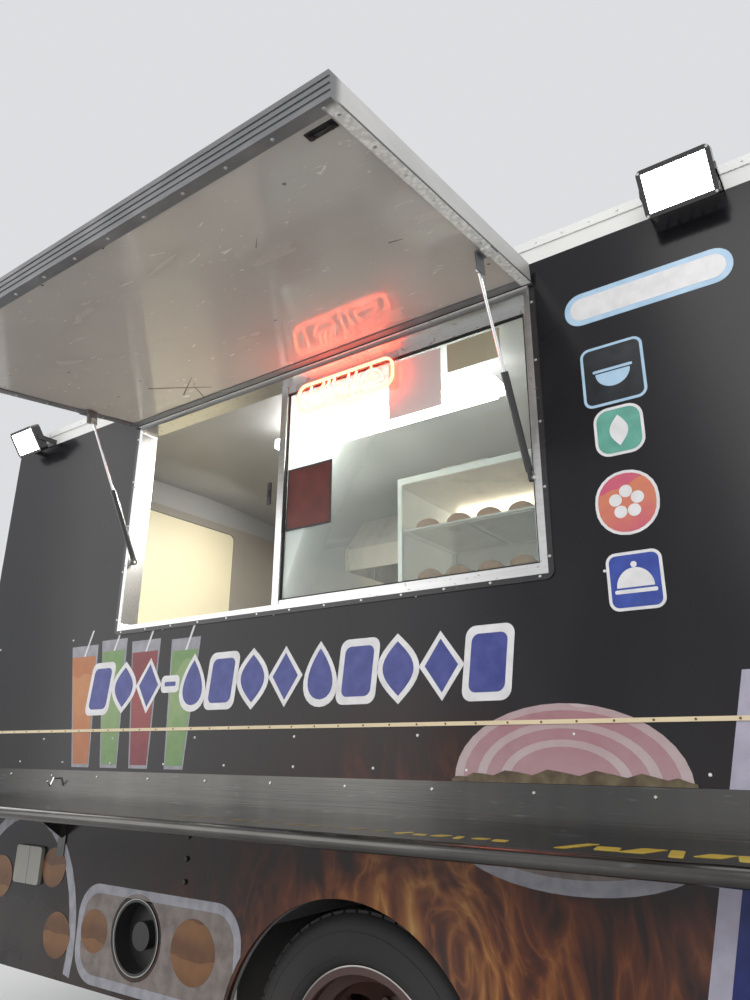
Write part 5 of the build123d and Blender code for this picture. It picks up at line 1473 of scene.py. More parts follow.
    def fan_trim(self) -> None:
        """Louvre blades round the fan's drum and clips on its cap."""
        piece = self.shop.piece("fan_trim")
        for blade in range(self.blades):
            angle = FULL_TURN * blade / self.blades
            out = Vector((math.cos(angle), math.sin(angle), 0.0))
            across = Vector((-out.y, out.x, 0.0)) * 0.022
            foot = Vector((*self.fan, 3.135)) + out * 0.3003
            base = [foot - across, foot + across, foot + across + out * 0.010, foot - across + out * 0.010]
            piece.prism(base, (0.0, 0.0, 0.055), FAN_METAL, bevel=0.0015)
        for clip in range(4):
            angle = math.pi / 4 + math.pi * clip / 2
            foot = Vector((*self.fan, 3.110)) + Vector((math.cos(angle), math.sin(angle), 0.0)) * 0.335
            piece.rod(foot, foot + Vector((0.0, 0.0, 0.016)), 0.012, ZINC, 12, bevel=0.002)
        piece.done("fan_aluminium")

    def add(self) -> None:
        """Adds the shell's trim."""
        self.roof_edges()
        self.flood_lenses()
        self.cab_lamps()
        self.rear_plate()
        self.wipers()
        self.fan_trim()


@dataclass
class KerbPrints(Assembly):
    """Generic printed pictures, bands and badges on the kerb side, its belt strip with a painted reflection,
    and its screws with painted glints.
    """

    wall_y: float = -1.180
    film: float = 0.0005
    band_z: float = 1.480
    badge_x: float = 0.900
    drink_z: float = 1.183
    onion: Pair = (0.675, 1.173)
    cup: Pair = (-0.883, 0.647)
    panel: Pair = (-0.800, 0.633)
    blue: Pair = (1.655, 0.955)
    arch_z: float = 0.390
    arch_radius: float = 0.472

    def print(self, piece: Piece, outline: Outline, at: Pair, ink: Film, layer: int = 0,
              holes: tuple[Outline, ...] = ()) -> None:
        """Adds one flat print.

        Args:
            piece: Piece that takes it.
            outline: Its outline about its own middle.
            at: Forward place and height of its middle.
            ink: Its ink.
            layer: How many films lie below.
            holes: Outlines that are cut out of it.
        """
        origin = (at[0], self.wall_y - 0.0002 - layer * self.film, at[1])
        piece.sheet([outline, *holes], origin, Way.KERB, self.film, ink)

    def number_band(self) -> None:
        """Row of plain motifs where the truck carries its number."""
        piece = self.shop.piece("number_band")
        names = "BLOCK LEAF LOZENGE DASH DROP BLOCK LEAF LOZENGE DROP BLOCK LEAF LOZENGE BLOCK"
        x = -1.32
        for index, motif in enumerate(Motif[name] for name in names.split()):
            width, height = (0.10, 0.062) if motif is Motif.DASH else (0.150, 0.205 - 0.008 * (index % 2))
            at = x + width / 2, self.band_z
            self.print(piece, motif.outline(width, height), at, WHITE_INK, 1)
            self.print(piece, motif.outline(width - 0.040, height - 0.046), at, NAVY_INK, 2)
            x += width - 0.002
        piece.done("body_wrap")

    def badges(self) -> None:
        """Four badges with a bowl, a leaf, petals and a bell, and a bare name strip above them."""
        piece = self.shop.piece("side_badges")
        grounds = (
            (2.242, 0.185, 0.026, DARK_INK, SKY_INK), (2.069, 0.142, 0.040, TEAL_INK, WHITE_INK),
            (1.864, 0.176, 0.080, PINK_INK, WHITE_INK), (1.657, 0.150, 0.026, ROYAL_INK, WHITE_INK))
        for z, size, corner, ink, rim in grounds:
            self.print(piece, rounded(size * 0.94, size, corner), (self.badge_x, z), rim)
            inner = rounded(size * 0.94 - 0.016, size - 0.016, corner - 0.008)
            self.print(piece, inner, (self.badge_x, z), ink, 1)
        petals = [FULL_TURN * (petal / 5 + 0.25) for petal in range(5)]
        signs = [(0.0, 2.248, ellipse(0.096, 0.090, 0.5, 1.0), SKY_INK),
                 (0.0, 2.256, rounded(0.110, 0.008, 0.003), SKY_INK),
                 (0.0, 2.069, Motif.LEAF.outline(0.050, 0.090), WHITE_INK)]
        signs += [(0.030 * math.cos(angle), 1.864 + 0.030 * math.sin(angle),
                   ellipse(0.034, 0.034, steps=16), WHITE_INK) for angle in petals]
        signs += [(0.0, 1.640, ellipse(0.094, 0.100, 0.0, 0.5), WHITE_INK),
                  (0.0, 1.630, rounded(0.106, 0.010, 0.004), WHITE_INK),
                  (0.0, 1.698, ellipse(0.016, 0.016, steps=12), WHITE_INK)]
        for x, z, outline, ink in signs:
            self.print(piece, outline, (self.badge_x + x, z), ink, 2)
        self.print(piece, rounded(0.46, 0.105, 0.050), (1.01, 2.470), SKY_INK)
        self.print(piece, rounded(0.425, 0.072, 0.034), (1.01, 2.470), WHITE_INK, 1)
        piece.done("body_wrap")

    def drinks(self) -> None:
        """Four leaning tumblers of juice with straws, behind the number band."""
        piece = self.shop.piece("drink_prints")
        rows = (
            (-1.318, -1.385, 1.660, 0.090, ORANGE_INK), (-1.140, -1.190, 1.672, 0.082, GREEN_INK),
            (-0.965, -0.990, 1.655, 0.086, CRIMSON_INK), (-0.770, -0.760, 1.645, 0.080, GREEN_INK))
        for low_x, high_x, top, half, ink in rows:
            middle = (low_x + high_x) / 2, (self.drink_z + top) / 2
            foot, head = low_x - middle[0], high_x - middle[0]
            low, high = self.drink_z - middle[1], top - middle[1]
            for layer, fill, narrow, wide, base, rim in ((-1, PLATE_INK, 0.62, 1.0, 0.0, 0.0),
                                                         (0, ink, 0.54, 0.88, 0.012, 0.045)):
                outline = [(foot - narrow * half, low + base), (foot + narrow * half, low + base),
                           (head + wide * half, high - rim), (head - wide * half, high - rim)]
                self.print(piece, outline, middle, fill, layer)
            straw = [(0.0, 0.0), (0.010, 0.0), (0.052, 0.105), (0.042, 0.105)]
            self.print(piece, straw, (high_x, top - 0.045), WHITE_INK)
        piece.done("body_wrap")

    def pictures(self) -> None:
        """A half onion over an oval plate, two plates of round pieces and a leaning blue panel."""
        piece = self.shop.piece("food_prints")
        dish = self.onion[0], 1.050
        self.print(piece, ellipse(0.66, 0.25, 0.5, 1.0), dish, PLATE_INK)
        self.print(piece, ellipse(0.56, 0.18, 0.5, 1.0), dish, DISH_INK, 1)
        for layer in range(6):
            size = 0.615 - 0.052 * layer - 0.030 * (layer // 2), 0.384 - 0.034 * layer - 0.020 * (layer // 2)
            self.print(piece, ellipse(*size, 0.0, 0.5), self.onion, (ONION_INK, RING_INK)[layer % 2], layer)
        arc = [math.pi * k / 24 for k in range(25)]
        strip = [(0.315 * math.cos(t), 0.004 + (0.022 + 0.008 * math.sin(2.1 * k)) * math.sin(t))
                 for k, t in enumerate(arc)]
        self.print(piece, [(-0.315, -0.001), (0.315, -0.001), *strip], self.onion, LEAF_INK, 6)
        cup = [(a + self.cup[0] - self.panel[0], b + self.cup[1] - self.panel[1])
               for a, b in ellipse(0.262, 0.262)[::-1]]
        self.print(piece, self.beside_arch(0.82, 0.315, 0.11), self.panel, PLATE_INK, 0, (cup,))
        self.print(piece, self.beside_arch(0.76, 0.255, 0.085), self.panel, DISH_INK, 1, (cup,))
        ring = ellipse(0.780, 0.90, -0.035, 0.535) + ellipse(0.700, 0.82, -0.035, 0.535)[::-1]
        self.print(piece, ring, (-1.605, 0.575), PLATE_INK)
        for x, z, size in ((-1.110, 0.640, 0.150), (-0.600, 0.640, 0.205), (-1.330, 0.600, 0.165),
                           (-1.400, 0.820, 0.150), (-1.760, 0.760, 0.170), (-1.900, 0.610, 0.160)):
            self.print(piece, ellipse(size, size * 0.92), (x, z), CRUST_INK, 2)
        edge = [(-0.766, -0.47), (0.62, -0.47), (0.62, 0.47), (-0.542, 0.47)]
        inner = [(-0.721, -0.47), (0.58, -0.47), (0.58, 0.43), (-0.506, 0.43)]
        self.print(piece, edge, self.blue, LILAC_INK)
        self.print(piece, inner, self.blue, DEEP_INK, 1)
        piece.done("body_wrap")

    def beside_arch(self, width: float, height: float, corner: float) -> Outline:
        """Outline of a rounded panel that gives way to the rear wheel's arch.

        Args:
            width: Width of the panel.
            height: Height of the panel.
            corner: Radius of its corners.

        Returns:
            Points about the panel's own middle.
        """
        edge = rounded(width, height, corner, 10)
        split = [(a + (c - a) * k / 12, b + (d - b) * k / 12)
                 for (a, b), (c, d) in zip(edge, edge[1:] + edge[:1]) for k in range(12)
                 if k == 0 or math.hypot(c - a, d - b) > 0.04]
        arch = Vector((-self.panel[0], self.arch_z - self.panel[1]))
        points = []
        for point in split:
            away = Vector(point) - arch
            if away.length < self.arch_radius:
                away = away.normalized() * self.arch_radius
            points.append(tuple(arch + away))
        return points

    def tape(self) -> None:
        """Metal belt strip painted cream as a painted reflection, with dark ticks, and rows of small screws
        whose white heads are painted glints.
        """
        piece = self.shop.piece("belt_strip_with_ticks")
        y = self.wall_y
        # The strip's cream colour is a painted reflection on metal trim.
        piece.block((-2.14, y - 0.0042, 1.3145), (2.62, y, 1.3255), BELT_STRIP_PAINTED_REFLECTION, bevel=0.0008)
        ticks = [(x, y - 0.0040, 1.320) for x in spaced(-2.10, 2.60, 0.094)]
        piece.heads(ticks, Way.KERB, 0.0036, 0.0014, BROWN_TICK, sides=6)
        piece.done("body_wrap")
        piece = self.shop.piece("side_screws")
        rows = ((1.290, 0.47), (1.200, 0.31), (1.690, 0.61))
        screws = [(x, y - 0.0001, z) for z, pitch in rows for x in spaced(-2.05, 2.55, pitch)]
        # Painted highlights: these screw heads are painted white as glints.
        piece.heads(screws, Way.KERB, 0.0045, 0.0026, WHITE_TICKS_AND_PAINTED_GLINTS)
        bolts = [(-0.66, y - 0.0001, z) for z in (0.973, 0.905, 0.836)]
        piece.heads(bolts, Way.KERB, 0.009, 0.007, DARK_HEAD, sides=6, taper=0.9)
        piece.done("body_wrap")

    def add(self) -> None:
        """Adds every print, the belt strip and the screws."""
        self.number_band()
        self.badges()
        self.drinks()
        self.pictures()
        self.tape()


@dataclass
class Awning(Assembly):
    """Lifted awning: sheet, border, latch, rivets and struts."""

    looks = {
        AwningBorder("awning_border"): ("awning_frame",),
        AwningSheet("awning_sheet"): ("awning_panel",),
        BLACK_PAINT: ("strut_tube_aft", "strut_tube_fore"),
        CHROME: ("strut_rod_aft", "strut_rod_fore"),
    }
    droop: float = 8.0
    hinge_y: float = -1.190
    hinge_z: float = 2.610
    latch_x: float = 0.613
    latch_reach: float = 0.934
    rivet_x: Pair = (-1.183, 0.673)

    def spot(self, x: float, reach: float, lift: float) -> Point:
        """Point on the lifted awning.

        Args:
            x: Forward place.
            reach: Distance from the hinge along the sheet.
            lift: Height over the sheet's lower side.

        Returns:
            The point.
        """
        across, up = math.sin(math.radians(self.droop)), math.cos(math.radians(self.droop))
        return (x, self.hinge_y - reach * up - lift * across, self.hinge_z - reach * across + lift * up)

    def add(self) -> None:
        """Latch at the outer fore corner, rivets round the border and crossed scratches."""
        piece = self.shop.piece("awning_latch")
        x, reach = self.latch_x, self.latch_reach
        base = [self.spot(x + a, reach + b, 0.0048) for a, b in
                ((-0.038, -0.013), (0.038, -0.013), (0.038, 0.013), (-0.038, 0.013))]
        piece.prism(base, (0.0, 0.0, -0.0030), DARK_HEAD, bevel=0.001)
        piece.rod(self.spot(x - 0.034, reach, 0.0002), self.spot(x + 0.036, reach, 0.0002), 0.0028,
                  DARK_HEAD)
        for a in (x - 0.026, x + 0.026):
            piece.rod(self.spot(a, reach, 0.0030), self.spot(a, reach, -0.0035), 0.0085, DARK_HEAD,
                      bevel=0.0008)
        piece.done("border_aluminium", "awning")
        piece = self.shop.piece("awning_rivets")
        rivets = [self.spot(x, 0.983, 0.0) for x in spaced(-1.17, 0.66, 0.14)]
        rivets += [self.spot(x, reach, 0.0) for x in self.rivet_x for reach in spaced(0.06, 0.95, 0.12)]
        piece.heads(rivets, Way.DOWN, 0.005, 0.0020, ZINC)
        piece.done("border_aluminium", "awning")
        piece = self.shop.piece("awning_scuffs")
        rows = ((-0.80, 0.255, -0.62, 0.095, 0.0042), (-0.76, 0.115, -0.60, 0.215, 0.0030),
                (-0.72, 0.045, -0.66, 0.150, 0.0024), (-0.10, 0.960, -0.06, 0.972, 0.0030),
                (0.48, 0.480, 0.52, 0.470, 0.0020), (0.20, 0.700, 0.23, 0.730, 0.0014))
        for x0, r0, x1, r1, width in rows:
            side = Vector((x1 - x0, r1 - r0)).orthogonal().normalized() * width
            corners = ((x0, r0, -1.0), (x1, r1, -0.3), (x1, r1, 0.3), (x0, r0, 1.0))
            spots = [self.spot(x + side.x * k, r + side.y * k, 0.0) for x, r, k in corners]
            base = [(a, b, c + 0.0049) for a, b, c in spots]
            piece.prism(base, (0.0, 0.0, -0.0006), SCUFF_BLACK)
        piece.done("awning_white", "awning")


@dataclass
class ServingWindow(Assembly):
    """Aluminium frame, its latch and screws, and the papers and lit sign behind it."""

    looks = {
        FramePaint("window_frame"): ("serving_frame",),
        SignPaint("sign_tube"): ("neon_sign",),
    }
    wall_y: float = -1.180
    glass_y: float = -1.117
    pane: tuple[float, float, float, float] = (-0.3535, 0.6285, 1.7505, 2.5595)
    gasket: float = 0.006
    sign_x: float = -0.065
    sign_z: float = 2.500
    neon_y: float = -1.1525

    def neon(self) -> None:
        """Bowl, steam, slanted strokes and a bell of thin lit tube inside the sign's ring."""
        piece = self.shop.piece("neon_strokes")
        lines = [[(-0.070 + a, 0.002 + b) for a, b in ellipse(0.096, 0.082, 0.5, 1.0, 24)],
                 [(-0.122, 0.002), (-0.018, 0.002)]]
        lines += [[(x + 0.005 * math.sin(1.6 * k), 0.010 + 0.0058 * k) for k in range(7)]
                  for x in (-0.095, -0.070, -0.045)]
        lines += [[(x - 0.010, -0.040), (x + 0.010, 0.042)] for x in (-0.160, 0.014, 0.048)]
        lines += [[(0.122 + a, -0.024 + b) for a, b in ellipse(0.092, 0.104, 0.0, 0.5, 24)],
                  [(0.070, -0.024), (0.174, -0.024)], [(0.084, -0.040), (0.160, -0.040)],
                  [(0.122, 0.029), (0.122, 0.043)]]
        for line in lines:
            points = [(self.sign_x + a, self.neon_y, self.sign_z + b) for a, b in line]
            for start, end in zip(points, points[1:]):
                piece.rod(start, end, 0.0040, NEON_RED, 8)
        piece.done("sign_tube")

    def papers(self) -> None:
        """Blank papers and a framed sheet on the pane."""
        piece = self.shop.piece("window_papers")
        y = self.glass_y - 0.0014
        for x0, x1, z0, z1, near, far, look in (
                (0.11, 0.32, 2.330, 2.545, 0.0, 0.0006, PAPER),
                (0.345, 0.54, 2.440, 2.545, 0.0, 0.0006, OLIVE_PAPER),
                (-0.345, -0.136, 2.004, 2.243, 0.0, 0.0012, CAB_TRIM),
                (-0.338, -0.143, 2.011, 2.236, -0.0004, 0.0, RED_SHEET)):
            piece.block((x0, y + near, z0), (x1, y + far, z1), look)
        piece.done("frame_aluminium")

    def fittings(self) -> None:
        """Latch on the mullion, screws round the flange and a rubber strip round the pane."""
        piece = self.shop.piece("sash_latch")
        y = self.wall_y - 0.0001
        piece.block((-0.384, y - 0.0060, 2.095), (-0.366, y, 2.180), BLACK_PLASTIC, bevel=0.002)
        piece.block((-0.381, y - 0.0094, 2.125), (-0.369, y - 0.0050, 2.150), BLACK_PLASTIC, bevel=0.0015)
        piece.done("frame_aluminium")
        piece = self.shop.piece("window_screws")
        y = self.wall_y - 0.0052
        screws = [(x, y, 1.6975) for x in spaced(-1.15, 0.65, 0.15)]
        screws += [(x, y, z) for x in (-1.1845, 0.6815) for z in spaced(1.75, 2.55, 0.2)]
        piece.heads(screws, Way.KERB, 0.0045, 0.0018, ZINC)
        piece.done("frame_aluminium")
        piece = self.shop.piece("pane_gasket")
        (x0, x1, z0, z1), wide, y = self.pane, self.gasket, self.glass_y
        for ax, az, bx, bz in ((x0, z0, x1, z0 + wide), (x0, z1 - wide, x1, z1),
                               (x0, z0, x0 + wide, z1), (x1 - wide, z0, x1, z1)):
            piece.block((ax, y - 0.0035, az), (bx, y - 0.0002, bz), BLACK_RUBBER, bevel=0.001)
        piece.done("frame_aluminium")

    def add(self) -> None:
        """Adds the strokes, the papers and the fittings."""
        self.neon()
        self.papers()
        self.fittings()


@dataclass
class Shelf(Assembly):
    """Folded shelf with its hook, screws and worn yellow strokes."""

    # The shelf's steel carries painted shade and painted reflections.
    looks = {SHELF_STEEL_PAINTED_SHADE_AND_REFLECTIONS: ("serving_shelf",)}
    wall_y: float = -1.180
    top_z: float = 1.057
    hook_x: float = -1.450
    hook_z: float = 1.140
    corner: float = 0.008

    def add(self) -> None:
        """Adds the hook, the screws and the strokes."""
        piece = self.shop.piece("shelf_hook")
        x, y, z = self.hook_x, self.wall_y - 0.003, self.hook_z
        for y0, z0, y1, z1 in ((0.0, 0.0, 0.018, 0.0), (0.017, 0.003, 0.030, -0.030),
                               (0.029, -0.029, 0.045, -0.010)):
            piece.rod((x, y - y0, z + z0), (x, y - y1, z + z1), 0.0035, CHROME, bevel=0.001)
        piece.done("shelf_stainless")
        piece = self.shop.piece("shelf_screws")
        screws = [(x, self.wall_y - 0.0031, 1.150) for x in spaced(-2.09, 1.49, 0.30)]
        piece.heads(screws, Way.KERB, 0.005, 0.0028, ZINC)
        piece.done("shelf_stainless")
        piece = self.shop.piece("shelf_strokes")
        y, z = self.wall_y, self.top_z + 0.0001
        for start, end, width, height in ((0.335, 0.600, 0.036, 0.050), (0.775, 1.120, 0.052, 0.120)):
            for index, x in enumerate(spaced(start, end, 1.35 * width)):
                size = width * (1.0 if index % 3 else 0.55), height * (1.0 - 0.22 * ((index * 2) % 3))
                outline = rounded(*size, self.corner, 3, lean=0.30 - 0.50 * (index % 2))
                piece.sheet([outline], (x, y - 0.205 - 0.010 * (index % 2), z), Way.UP, 0.0004, YELLOW_INK)
        for index, x in enumerate(spaced(-0.45, 0.26, 0.071)):
            outline = rounded(0.040, 0.042 - 0.014 * (index % 3), self.corner, 3, lean=0.25)
            piece.sheet([outline], (x, y - 0.200, z), Way.UP, 0.0004, WORN_INK)
        piece.done("shelf_stainless")


@dataclass
class Kitchen(Assembly):
    """Counter, bench, hood, warming cabinet, ceiling lamp and what stands in them."""

    looks = {
        STAINLESS: ("counter", "kitchen_line"),
        CABINET_PAINTED_LIT_WHITE: ("display_cabinet",),
        LAMP_WHITE: ("ceiling_lamp",),
    }
    cabinet_x: Pair = (0.136, 0.604)
    cabinet_y: Pair = (-1.0795, -0.704)
    pane_z: Pair = (1.762, 2.096)
    cooker_y: float = 0.520
    knob_x: tuple[float, ...] = (-0.98, -0.80, -0.58, -0.40, -0.08, 0.06, 0.20, 0.34)
    knob_z: float = 1.760
    inner_y: float = 1.150
    rail_z: float = 2.190

    def cabinet(self) -> None:
        """Glass panes, pans, a glowing strip and rolls in the warming cabinet."""
        piece = self.shop.piece("cabinet_panes")
        (x0, x1), (y0, y1), (z0, z1) = self.cabinet_x, self.cabinet_y, self.pane_z
        piece.block((x0, y0, z0), (x1, y0 + 0.004, z1), CABINET_GLASS)
        for x in (0.1205, 0.6155):
            piece.block((x, -1.0635, z0), (x + 0.004, -0.7165, z1), CABINET_GLASS)
        piece.done("clear_glass")
        piece = self.shop.piece("cabinet_insides")
        piece.block((x0 + 0.02, y1 - 0.03, 2.078), (x1 - 0.02, y1 - 0.012, 2.094), CABINET_GLOW, bevel=0.003)
        for z in (1.7605, 1.9335):
            for x in (x0 + 0.016, (x0 + x1) / 2 + 0.008):
                piece.block((x, -1.05, z), (x + 0.205, -0.74, z + 0.012), STAINLESS, bevel=0.003)
        piece.done("kitchen_stainless")
        piece = self.shop.piece("cabinet_rolls")
        rng = random.Random(7)
        for z in (1.7730, 1.9460):
            for column in range(4):
                for row in range(3):
                    x = x0 + 0.062 + column * 0.108 + rng.uniform(-0.008, 0.008)
                    y = -1.00 + row * 0.095 + rng.uniform(-0.006, 0.006)
                    piece.loaf((x, y, z + 0.0005), (0.044, 0.036, 0.042), GOLDEN_CRUST)
        piece.done("kitchen_stainless")

    def cooking_place(self) -> None:
        """Baffle filters under the hood, knobs and a wall rail with tools."""
        piece = self.shop.piece("hood_filters")
        for x in spaced(-1.18, 1.14, 0.045):
            base = [(x, 0.52, 2.306), (x + 0.018, 0.52, 2.306), (x + 0.026, 1.06, 2.50),
                    (x + 0.008, 1.06, 2.50)]
            piece.prism(base, (0.0, 0.0, 0.012), STAINLESS)
        piece.done("kitchen_stainless")
        piece = self.shop.piece("cooker_knobs")
        y, z = self.cooker_y - 0.0003, self.knob_z
        for x in self.knob_x:
            piece.rod((x, y, z), (x, y - 0.022, z), 0.020, BLACK_PLASTIC, 20, bevel=0.003)
            piece.block((x - 0.003, y - 0.029, z - 0.016), (x + 0.003, y - 0.021, z + 0.016),
                        BLACK_PLASTIC, bevel=0.001)
        piece.done("kitchen_stainless")
        piece = self.shop.piece("wall_rail")
        y, z = self.inner_y - 0.020, self.rail_z
        piece.rod((-1.15, y - 0.035, z), (1.15, y - 0.035, z), 0.006, STAINLESS, 12)
        for x in (-1.10, -0.35, 0.35, 1.10):
            piece.rod((x, y, z), (x, y - 0.035, z), 0.005, STAINLESS, 10)
        for x in (-0.85, -0.65, -0.12, 0.10, 0.72):
            piece.rod((x, y - 0.047, z + 0.015), (x, y - 0.047, z - 0.205), 0.004, STAINLESS, 10,
                      bevel=0.001)
            piece.block((x - 0.035, y - 0.051, z - 0.290), (x + 0.035, y - 0.047, z - 0.200), CAST_IRON,
                        bevel=0.0015)
        piece.done("kitchen_stainless")

    def add(self) -> None:
        """Fills the cabinet and the cooking place."""
        self.cabinet()
        self.cooking_place()


@dataclass
class Wheel(Assembly):
    """Treaded tyres and dressed rims of one wheel or pair."""

    body: str
    rim: str
    tyre: str
    axle_x: float
    centres: tuple[float, ...]
    radius: float = 0.405
    blocks: int = 54
    groove: float = 0.009

    def profile(self) -> Outline:
        """Outline of the tyre's section as (radius, distance) points."""
        outer = [(0.2480, 0.070), (0.2560, 0.0765), (0.2640, 0.0800), (0.2700, 0.0930), (0.2820, 0.1030),
                 (0.3000, 0.1095), (0.3180, 0.1124), (0.3350, 0.1130), (0.3500, 0.1115), (0.3650, 0.1085),
                 (0.3760, 0.1040), (0.3850, 0.0980), (0.3910, 0.0900)]
        tread = self.radius - self.groove
        outer += [(tread, 0.0830), (tread, 0.030)]
        outer += [(r, -d) for r, d in reversed(outer)]
        return outer + [(0.3750, -0.080), (0.3200, -0.098), (0.2700, -0.082), (0.2480, -0.050),
                        (0.2480, 0.050), (0.2700, 0.082), (0.3200, 0.098), (0.3750, 0.080)]

    def tread(self, piece: Piece, origin: Point) -> None:
        """Rows of tread blocks round one tyre.

        Args:
            piece: Piece that takes them.
            origin: Middle of the tyre.
        """
        step = FULL_TURN * self.radius / self.blocks
        part = bmesh.new()
        radii = self.radius - self.groove - 0.004, self.radius - 0.0006
        for middle, width, shift in ((-0.068, 0.028, 0.0), (-0.0345, 0.027, 0.5), (0.0, 0.030, 0.0),
                                     (0.0345, 0.027, 0.5), (0.068, 0.028, 0.0)):
            x0, x1 = (shift - 0.40) * step, (shift + 0.40) * step
            y0, y1 = middle - width / 2, middle + width / 2
            skew = 0.004 if shift else -0.004
            outline = (x0 + skew, y0), (x1 + skew, y0), (x1 - skew, y1), (x0 - skew, y1)
            corners = [part.verts.new((r * math.sin(x / self.radius), y, r * math.cos(x / self.radius)))
                       for r in radii for x, y in outline]
            for face in ((3, 2, 1, 0), (4, 5, 6, 7), (0, 1, 5, 4), (1, 2, 6, 5), (2, 3, 7, 6), (3, 0, 4, 7)):
                part.faces.new([corners[k] for k in face])
        bmesh.ops.recalc_face_normals(part, faces=part.faces)
        mesh = self.shop.ring.apply(to_mesh("tread", part), {
            "Count": self.blocks, "Material": self.shop.material(TYRE_RUBBER)})
        mesh.transform(Matrix.Translation(Vector(origin)))
        piece.add_mesh(mesh, TYRE_RUBBER)

    def add(self) -> None:
        """Builds the treaded tyres with their wall rings, and the rim's pale lip."""
        self.shop.paint(WHEEL_PAINT, (self.rim,))
        self.shop.paint(TYRE_RUBBER, (self.tyre,))
        axis = (0.0, 1.0, 0.0)
        piece = self.shop.piece(f"treaded_{self.tyre}")
        for centre in self.centres:
            origin = (self.axle_x, centre, self.radius)
            piece.lathe(self.profile(), origin, axis, TYRE_RUBBER)
            self.tread(piece, origin)
            for radius, out in ((0.352, 0.1112), (0.352, -0.1112), (0.290, 0.1060), (0.290, -0.1060)):
                side = math.copysign(1.0, out)
                ring = [(radius - 0.0025, out - side * 0.002), (radius + 0.0025, out - side * 0.002),
                        (radius + 0.0012, out + side * 0.0012), (radius - 0.0012, out + side * 0.0012)]
                piece.lathe(ring, origin, axis, TYRE_RUBBER)
        piece.done("tyre_rubber", self.body, (self.tyre,))
        outer = max(self.centres, key=abs)
        side = math.copysign(1.0, outer)
        piece = self.shop.piece(f"lip_{self.rim}")
        ring = [(0.2596, 0.0), (0.2636, 0.0), (0.2640, 0.0010), (0.2618, 0.0020), (0.2598, 0.0012)]
        origin = (self.axle_x, side * (abs(outer) + 0.0862), self.radius)
        piece.lathe(ring, origin, (0.0, side, 0.0), PALE_LIP)
        piece.done("wheel_brown", self.body)


@dataclass
class Chassis(Assembly):
    """Frame, axles, springs, engine, tank and exhaust, with their bolts."""

    looks = {
        CHASSIS_PAINT: ("chassis_frame", "leaf_springs", "front_axle", "rear_axle", "dampers",
                        "knuckle_left", "knuckle_right"),
        CAST_IRON: ("engine_block",),
        TANK_METAL: ("fuel_tank",),
        HOT_STEEL: ("exhaust",),
    }
    wheelbase: float = 3.990
    rail_y: float = 0.4301

    def add(self) -> None:
        """U-bolts over each spring pack and bolts along the rails."""
        piece = self.shop.piece("spring_bolts")
        for axle_x, foot in ((0.0, 0.36), (self.wheelbase, 0.40)):
            for side in Side:
                for x in (axle_x - 0.068, axle_x + 0.068):
                    for y in (0.436, 0.513):
                        piece.rod((x, side.value * y, foot), (x, side.value * y, 0.545), 0.006, ZINC, 10)
                    piece.rod(*((x, side.value * y, 0.541) for y in (0.432, 0.517)), 0.006, ZINC, 10)
        piece.done("chassis_black")
        piece = self.shop.piece("rail_bolts")
        for side in Side:
            bolts = [(x + dx, side.value * self.rail_y, z) for x in (-2.05, -0.90, 0.90, 1.90, 2.90, 4.56)
                     for dx in (0.02, 0.06) for z in (0.62, 0.67)]
            piece.heads(bolts, side.way, 0.011, 0.009, DARK_HEAD, sides=6, taper=0.95)
        piece.done("chassis_black")


